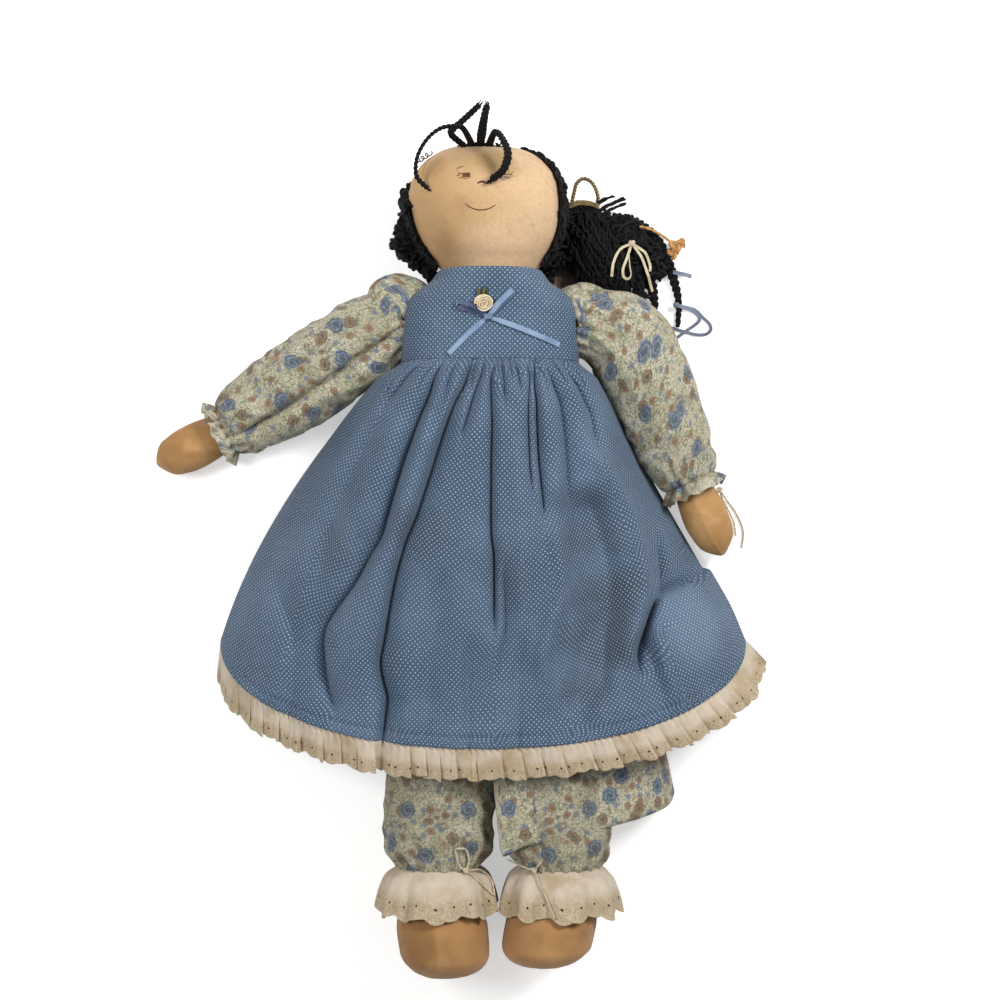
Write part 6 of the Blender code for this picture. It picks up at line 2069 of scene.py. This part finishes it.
def make_pigtail_trims(skins):
    tan = [
        [(0.1130, 0.0625), (0.1045, 0.0665), (0.0962, 0.0679)],
        [(0.1250, 0.0620), (0.1262, 0.0560)],
    ]
    make_knotted(
        "pigtail_tan_bow", (0.1206, 0.0569), tan, 0.0024, looks["tan"], "tan_cord",
        "pigtail", skins, False, 0.0054, ("tail", "loop"),
    )
    extra = knot("pigtail_tan_bow_fold", (0.1186, 0.0522, 0.0046), 0.0046, 0.0024,
                 looks["tan"])
    dress(extra, "pigtail", "tan_cord")
    cream = [
        [(0.0829, 0.0519), (0.0786, 0.0431), (0.0775, 0.0345)],
        [(0.0876, 0.0470), (0.0850, 0.0400), (0.0853, 0.0350), (0.0880, 0.0335),
         (0.0902, 0.0360), (0.0893, 0.0430), (0.0887, 0.0500)],
        [(0.0990, 0.0515), (0.1030, 0.0435), (0.1030, 0.0395)],
        [(0.0975, 0.0480), (0.1015, 0.0380), (0.1050, 0.0270)],
    ]
    make_knotted(
        "pigtail_cream_bow", (0.0908, 0.0566), cream, 0.0017, looks["cream_ribbon"],
        "cream_ribbon", "pigtail", skins, True, 0.0024, ("left", "loop", "right", "tail"),
    )
    blue = [
        [(0.1325, 0.0162), (0.1385, 0.0108), (0.1428, 0.0066), (0.1436, 0.0028),
         (0.1405, 0.0000), (0.1345, -0.0004), (0.1272, 0.0014), (0.1213, 0.0030),
         (0.1153, 0.0050)],
        [(0.1305, 0.0155), (0.1350, 0.0124), (0.1362, 0.0092), (0.1335, 0.0062),
         (0.1265, 0.0013), (0.1185, -0.0046)],
    ]
    make_knotted(
        "pigtail_blue_bow", (0.1206, 0.0185), blue, 0.0021, looks["ribbon_dull"], "blue_ribbon",
        "pigtail", skins, True, 0.0022, ("tail", "end"),
    )
    line = lie([(0.1185, 0.0397), (0.1270, 0.0388), (0.1311, 0.0375)], skins, 0.0006)
    made = ribbon("pigtail_ribbon_bit", line, 0.0026, 0.0003, looks["ribbon_dull"])
    dress(made, "pigtail", "blue_ribbon", "pigtail_ribbon")


# The bow and the rose on the bodice
def make_bodice_trim(bodice):
    skin = skin_of(bodice)
    knot_place = np.array([-0.0011, 0.0040])

    def laid(points, lifts):
        line = smooth_route([(x, y, 0) for x, y in points], 0.0007)
        lift = np.interp(np.linspace(0, 1, len(line)), np.linspace(0, 1, len(lifts)), lifts)
        ways = []
        for k, (x, y, _) in enumerate(line):
            place, way, _, _ = skin.ray_cast(Vector((x, y, 0.13)), Vector((0, 0, -1)))
            line[k, 2] = place.z + lift[k]
            ways.append(tuple(way))
        line[:, 2] = np.convolve(np.pad(line[:, 2], 3, mode="edge"), np.ones(7) / 7, "valid")
        return line, np.array(ways)

    x, y = knot_place
    # Painted light and shade: the tails and the upper right loop use a lighter copy of the blue
    # ribbon and the left loops a darker copy, for the light falling on the bow.
    parts = [
        ("tail_left", [(x, y), (x - 0.012, y - 0.0105), (x - 0.0240, y - 0.0225)],
         [0.0010, 0.0012, 0.0009], 0.0033, looks["ribbon_painted_light"]),
        ("tail_right", [(x, y), (x + 0.02, y - 0.007), (x + 0.0440, y - 0.0165)],
         [0.0010, 0.0014, 0.0008], 0.0033, looks["ribbon_painted_light"]),
        ("loop_right_under", [(x, y), (x + 0.008, y + 0.0075), (x + 0.0160, y + 0.0150)],
         [0.0008, 0.0006, 0.0016], 0.0031, looks["ribbon"]),
        ("loop_right", [(x, y), (x + 0.007, y + 0.0085), (x + 0.0150, y + 0.0162)],
         [0.0014, 0.0040, 0.0024], 0.0034, looks["ribbon_painted_light"]),
        ("loop_left_under", [(x, y), (x - 0.0100, y + 0.0035), (x - 0.0185, y + 0.0060)],
         [0.0006, 0.0005, 0.0012], 0.0026, looks["ribbon_painted_shade"]),
        ("loop_left", [(x, y), (x - 0.0095, y + 0.0065), (x - 0.0190, y + 0.0092)],
         [0.0014, 0.0034, 0.0020], 0.0022, looks["ribbon_painted_shade"]),
    ]
    for name, points, lifts, wide, look in parts:
        line, ways = laid(points, lifts)
        share = np.linspace(0, 1, len(line))
        own = wide * (0.55 + 0.45 * ease(share, 0, 0.25))
        dress(ribbon(f"bodice_bow_{name}", line, own, 0.0003, look, ways), "torso",
              "blue_ribbon")
    for side, tip in ((-1, (-0.0190, 0.0076)), (1, (0.0155, 0.0157))):
        turn = np.linspace(-pi / 2, pi / 2, 9)
        top = laid([(x + tip[0] - 0.0005 * side, y + tip[1]), (x + tip[0], y + tip[1])],
                   [0.0, 0.0])[0][0]
        way = np.array([tip[0], tip[1], 0.0])
        way /= np.linalg.norm(way)
        line = np.array([
            top + way * (0.0009 * math.cos(a)) + np.array([0, 0, 0.0015 + 0.0009 * math.sin(a)])
            for a in turn
        ])
        made = ribbon(f"bodice_bow_fold_{'left' if side < 0 else 'right'}", line, 0.0031,
                      0.0003, looks["ribbon"])
        dress(made, "torso", "blue_ribbon")
    middle, ways = laid([(x - 0.0022, y - 0.0003), (x, y), (x + 0.0022, y + 0.0003)],
                        [0.0018, 0.0030, 0.0018])
    dress(ribbon("bodice_bow_knot", middle, 0.0036, 0.0008, looks["ribbon"], ways), "torso",
          "blue_ribbon", "bodice_bow")
    rose_place = np.array([-0.0035, 0.0040 + 0.0017 + 0.0005 + 0.0056])
    top = skin.ray_cast(Vector((*rose_place, 0.13)), Vector((0, 0, -1)))[0].z
    make_leaves(rose_place, top)
    make_rose(rose_place, top + 0.0018)


def make_leaves(place, top):
    """Two loops of narrow green ribbon behind the rose."""
    for number, (dx, dy, lean_x) in enumerate(((0.0012, 0.0105, 0.0012), (-0.0030, 0.0092, -0.001),
                                               (0.0072, -0.0010, 0.0), (-0.0076, -0.0020, 0.0))):
        points = [
            (place[0], place[1], top + 0.0010),
            (place[0] + dx * 0.6 - 0.0010, place[1] + dy * 0.6, top + 0.0024),
            (place[0] + dx, place[1] + dy, top + 0.0022),
            (place[0] + dx * 0.6 + 0.0010, place[1] + dy * 0.6, top + 0.0010),
            (place[0] + lean_x, place[1], top + 0.0007),
        ]
        line = smooth_route(points, 0.0006)
        made = ribbon(f"rose_leaf_{number}", line, 0.0017, 0.0003, looks["leaf"])
        dress(made, "torso", "green_ribbon", *(["rose_leaves"] if number == 0 else []))


def make_rose(place, base):
    """A rolled ribbon rose: a spiral wall whose rim turns outwards petal by petal."""
    total = 2 * pi * 3.4
    count = 230
    rows = []
    for out in np.linspace(0, 1, 15):
        ring = []
        for k in range(count):
            t = k / (count - 1)
            angle = total * t + 0.7
            petal = (angle * 0.43) % 1.0
            radius = 0.0006 + 0.0043 * t ** 0.85 * (1 + 0.05 * math.sin(petal * 2 * pi))
            high = 0.0050 - 0.0021 * t ** 1.5 - 0.0007 * (2 * petal - 1) ** 4
            flare = 0.0011 * t * max(0, out - 0.55) ** 1.4 / 0.33
            roll = -0.0009 * t * max(0, out - 0.75) ** 1.3 / 0.165
            inner = radius * (0.62 + 0.38 * math.sin(min(1, out * 1.5) * pi / 2)) + flare
            ring.append((place[0] + inner * math.cos(angle), place[1] + inner * math.sin(angle),
                         base + high * out ** 0.9 + roll))
        rows.append(ring)
    made = loft("ribbon_rose_petals", np.array(rows).transpose(1, 0, 2), looks["rose"],
                closed=False)
    thicken(made, 0.0004, 0)
    dress(made, "torso", "cream_ribbon", "ribbon_rose")
    turn = np.linspace(0, 2 * pi, 48, endpoint=False)
    rings = []
    for out, high in ((0.35, -0.0008), (0.85, -0.0006), (1.0, 0.0004), (0.9, 0.0012),
                      (0.5, 0.0016)):
        rings.append(np.stack([
            place[0] + 0.0047 * out * np.cos(turn), place[1] + 0.0047 * out * np.sin(turn),
            np.full(48, base + high)], axis=1))
    heart = loft("ribbon_rose_base", np.array(rings), looks["rose"], caps=(True, True))
    dress(heart, "torso", "cream_ribbon")


def make_strings(skins):
    wrist = [
        [(0.1528, -0.1068), (0.1600, -0.1165), (0.1647, -0.1282), (0.1638, -0.1394)],
        [(0.1520, -0.1095), (0.1580, -0.1210), (0.1600, -0.1315)],
    ]
    make_knotted(
        "left_wrist_string", (0.1470, -0.1015), wrist, 0.0014, looks["cream"],
        "cream_string", "left_arm", skins["left_wrist"], False, 0.0022, ("long", "short"),
    )
    ankles = {
        "right": ((-0.0150, -0.3385), [
            [(-0.0090, -0.3435), (0.0001, -0.3533), (0.0035, -0.3560)],
            [(-0.0060, -0.3400), (0.0007, -0.3470), (0.0030, -0.3555)],
            [(-0.0190, -0.3350), (-0.0216, -0.3245)],
            [(-0.0130, -0.3330), (-0.0150, -0.3250), (-0.0210, -0.3240)],
        ]),
        "left": ((0.0275, -0.3385), [
            [(0.0180, -0.3365), (0.0106, -0.3340)],
            [(0.0309, -0.3454), (0.0357, -0.3552), (0.0400, -0.3652)],
            [(0.0300, -0.3350), (0.0325, -0.3320)],
        ]),
    }
    for side, (place, plans) in ankles.items():
        names = ("tail_a", "tail_b", "loop_a", "loop_b")[:len(plans)]
        make_knotted(
            f"{side}_ankle_string", place, plans, 0.0014, looks["cream"], "cream_string",
            f"{side}_leg", skins[side], False, 0.0022, names,
        )


# The stage and its light
def make_stage():
    rows = [[(-3, -3, 0), (3, -3, 0)], [(-3, 3, 0), (3, 3, 0)]]
    r = Recipe("floor_look", 0.9)
    seen = r.node("ShaderNodeLightPath")
    spread = r.noise(r.place, 3)
    paint = r.mix(spread, (244, 244, 243), (247, 247, 246))
    r.put(r.shader.inputs["Base Color"], paint)
    r.shader.inputs["Emission Color"].default_value = (1, 1, 1, 1)
    glow = r.sum("MAXIMUM", seen.outputs["Is Camera Ray"], seen.outputs["Is Glossy Ray"])
    glow = r.sum("MAXIMUM", glow, seen.outputs["Is Transmission Ray"])
    r.put(r.shader.inputs["Emission Strength"], r.sum("MULTIPLY", glow, 0.46))
    floor = piece("studio_floor", rows, [(0, 1, 3, 2)], r.material)
    floor.location.z = -0.0002
    world = bpy.data.worlds.new("studio")
    world.use_nodes = True
    tree = world.node_tree
    back = tree.nodes["Background"]
    path = tree.nodes.new("ShaderNodeLightPath")
    level = tree.nodes.new("ShaderNodeMapRange")
    level.inputs["To Min"].default_value = 0.30
    level.inputs["To Max"].default_value = 1.0
    tree.links.new(path.outputs["Is Camera Ray"], level.inputs["Value"])
    tree.links.new(level.outputs["Result"], back.inputs["Strength"])
    back.inputs["Color"].default_value = (1, 1, 1, 1)
    bpy.context.scene.world = world
    for name, place, size, power in (
        ("key_light", (0.88, 0.55, 1.06), 0.42, 15.6),
        ("side_light", (-0.75, 0.10, 1.20), 0.5, 8.8),
    ):
        lamp = bpy.data.lights.new(name, "AREA")
        lamp.size = size
        lamp.energy = power
        made = bpy.data.objects.new(name, lamp)
        made.location = place
        aim = Vector((0, -0.10, 0.03)) - Vector(place)
        made.rotation_euler = aim.to_track_quat("-Z", "Y").to_euler()
        bpy.context.scene.collection.objects.link(made)
    bpy.context.scene.view_settings.view_transform = "Standard"


def face_material():
    """The head's calico: stained brown below, paler towards one cheek and on the chin as painted
    light, with darker patches on the forehead and crown.
    """
    r = Recipe("face_look", 0.82, 0.15)
    parts = r.node("ShaderNodeSeparateXYZ", {0: r.place})
    x, y = parts.outputs[0], parts.outputs[1]
    wobble = r.noise(r.place, 38, 3, 0.6)
    drift = r.sum("MULTIPLY", r.sum("SUBTRACT", wobble, 0.5), 0.03)
    # Painted light: the cloth turns paler towards the doll's left (+x), the side that the key lamp
    # lights.
    side = r.ramp(r.sum("ADD", x, drift), -0.032, 0.034)
    paint = r.mix(side, (206, 166, 118), (226, 192, 152))
    low = r.ramp(r.sum("ADD", y, drift), 0.076, 0.044)
    left = r.ramp(r.sum("ADD", x, drift), 0.006, -0.028)
    paint = r.mix(r.sum("MULTIPLY", r.sum("MULTIPLY", low, left), 0.30), paint, (190, 146, 98))
    blotch = r.noise(r.place, 75, 3, 0.6, 0.8)
    paint = r.mix(r.ramp(blotch, 0.52, 0.74, 0, 0.5), paint, (186, 140, 98))
    # Patches: darker ones over the forehead, the crown and the doll's right cheek, and a pale one on
    # the chin, painted light for the chin that faces away from the lamps.
    for place, reach, stain_and_painted_light, amount in (
        ((0.0035, 0.1010, 0.078), 0.016, (150, 124, 80), 0.85),
        ((-0.0060, 0.1060, 0.070), 0.026, (176, 144, 96), 0.7),
        ((-0.0330, 0.0965, 0.070), 0.012, (178, 134, 84), 0.6),
        ((-0.0260, 0.0500, 0.066), 0.014, (178, 130, 84), 0.45),
        ((0.0040, 0.0440, 0.066), 0.034, (244, 206, 164), 0.85),
        ((-0.0160, 0.0720, 0.085), 0.008, (190, 142, 110), 0.5),
        ((0.0100, 0.1130, 0.060), 0.012, (160, 130, 92), 0.6),
    ):
        away = r.vector("DISTANCE", r.place, place)
        away = r.sum("ADD", away, r.sum("MULTIPLY", r.sum("SUBTRACT", wobble, 0.5), 0.016))
        paint = r.mix(r.ramp(away, reach * 0.25, reach, amount, 0), paint, stain_and_painted_light)
    fine = r.noise(r.place, 460, 3, 0.7)
    paint = r.mix(r.ramp(fine, 0.35, 0.8, 0, 0.28), paint, (166, 130, 88))
    slub = r.noise(r.place, 1000, 2, 0.6)
    height = r.sum("MULTIPLY_ADD", slub, 0.6, r.weave(0.00055))
    return r.finish(paint, height, 0.3, 0.0002)


looks = {
    "muslin": muslin_material("muslin_look", (192, 156, 112), (168, 128, 84), (208, 176, 136)),
    "hand": muslin_material("hand_look", (196, 152, 98), (166, 122, 74), (214, 172, 120)),
    "foot": muslin_material("foot_look", (178, 133, 85), (150, 109, 66), (194, 150, 101)),
    "face": face_material(),
    "dotted": dotted_material(),
    "floral": floral_material("floral_cotton_look"),
    "floral_sleeve": floral_material("floral_sleeve_look"),
    # The pantaloons' copy carries painted shade, darker for the shade under the skirt.
    "floral_leg": floral_material("floral_leg_look", stain_and_painted_light=0.26),
    "hem_lace": lace_material(0.0175, 0.0108),
    "ankle_lace": lace_material(0.0265, 0.0104),
    "yarn": yarn_material("black_yarn_look", (15, 12, 12), (7, 6, 6), 0.0),
    # Brown yarn for the flat mat by the nape, a colour that stands for painted shade.
    "shade_yarn": yarn_material("shade_yarn_look", (138, 114, 99), (102, 84, 73)),
    "tan": yarn_material("tan_cord_look", (214, 166, 108), (170, 118, 68)),
    "olive": yarn_material("olive_cord_look", (158, 134, 92), (112, 88, 54)),
    "cream": yarn_material("cream_string_look", (222, 208, 180), (188, 170, 138)),
    "cream_ribbon": ribbon_material("cream_ribbon_look", (222, 210, 180), (196, 180, 148), 0.0017),
    "ribbon": ribbon_material("blue_ribbon_look", (112, 132, 160), (88, 108, 138)),
    "ribbon_dull": ribbon_material("blue_ribbon_dull_look", (126, 134, 152), (96, 102, 122)),
    # Lighter and darker copies of the blue ribbon: painted light and painted shade on the bodice
    # bow.
    "ribbon_painted_light": ribbon_material("blue_ribbon_painted_light_look", (144, 166, 194), (112, 136, 168)),
    "ribbon_painted_shade": ribbon_material("blue_ribbon_painted_shade_look", (78, 92, 124), (58, 70, 98)),
    "leaf": ribbon_material("green_ribbon_look", (104, 106, 62), (74, 74, 40), 0.0017),
    "rose": ribbon_material("rose_look", (242, 230, 204), (226, 208, 174), 0.02),
    "ink_brown": plain_material("ink_brown_look", (120, 80, 56), (92, 58, 40)),
    "thread": plain_material("thread_look", (112, 78, 78), (78, 52, 54)),
    "ink_rose": plain_material("ink_rose_look", (160, 138, 124), (112, 92, 84)),
    "ink_dark": plain_material("ink_dark_look", (92, 62, 44), (74, 48, 36)),
    "ink_faint": plain_material("ink_faint_look", (164, 126, 78), (176, 138, 92)),
}

make_camera()
bodice = make_chest()
pinafore_made, hem, hem_count = make_pinafore_skirt()
make_dress_skirt()
make_hem_lace(hem, hem_count)
wrist_skins = []
for side in ("right", "left"):
    arm = make_arm(side)
    sleeve = make_sleeve(side)
    if side == "left":
        wrist_skins = [skin_of(arm), skin_of(sleeve)]
ankle_skins = {"left_wrist": wrist_skins}
for side in ("right", "left"):
    make_leg(side)
    make_pantaloon(side)
    frill = make_ankle_frill(side)
    ankle_skins[side] = [
        skin_of(bpy.data.objects[f"{side}_leg_skin"]),
        skin_of(bpy.data.objects[f"{side}_pantaloon_cloth"]), skin_of(frill),
        skin_of(bpy.data.objects["dress_skirt_cloth"]),
    ]
make_seat()
head = make_head()
make_face(head)
cap = make_wig_core()
make_wig_yarns(cap)
make_side_curls()
pigtail_skins = make_pigtail()
make_crown_braids(skin_of(head))
make_cord_loop()
pigtail_skins += make_hanging_braids()
make_pigtail_trims(pigtail_skins)
make_bodice_trim(bodice)
make_strings(ankle_skins)

make_stage()
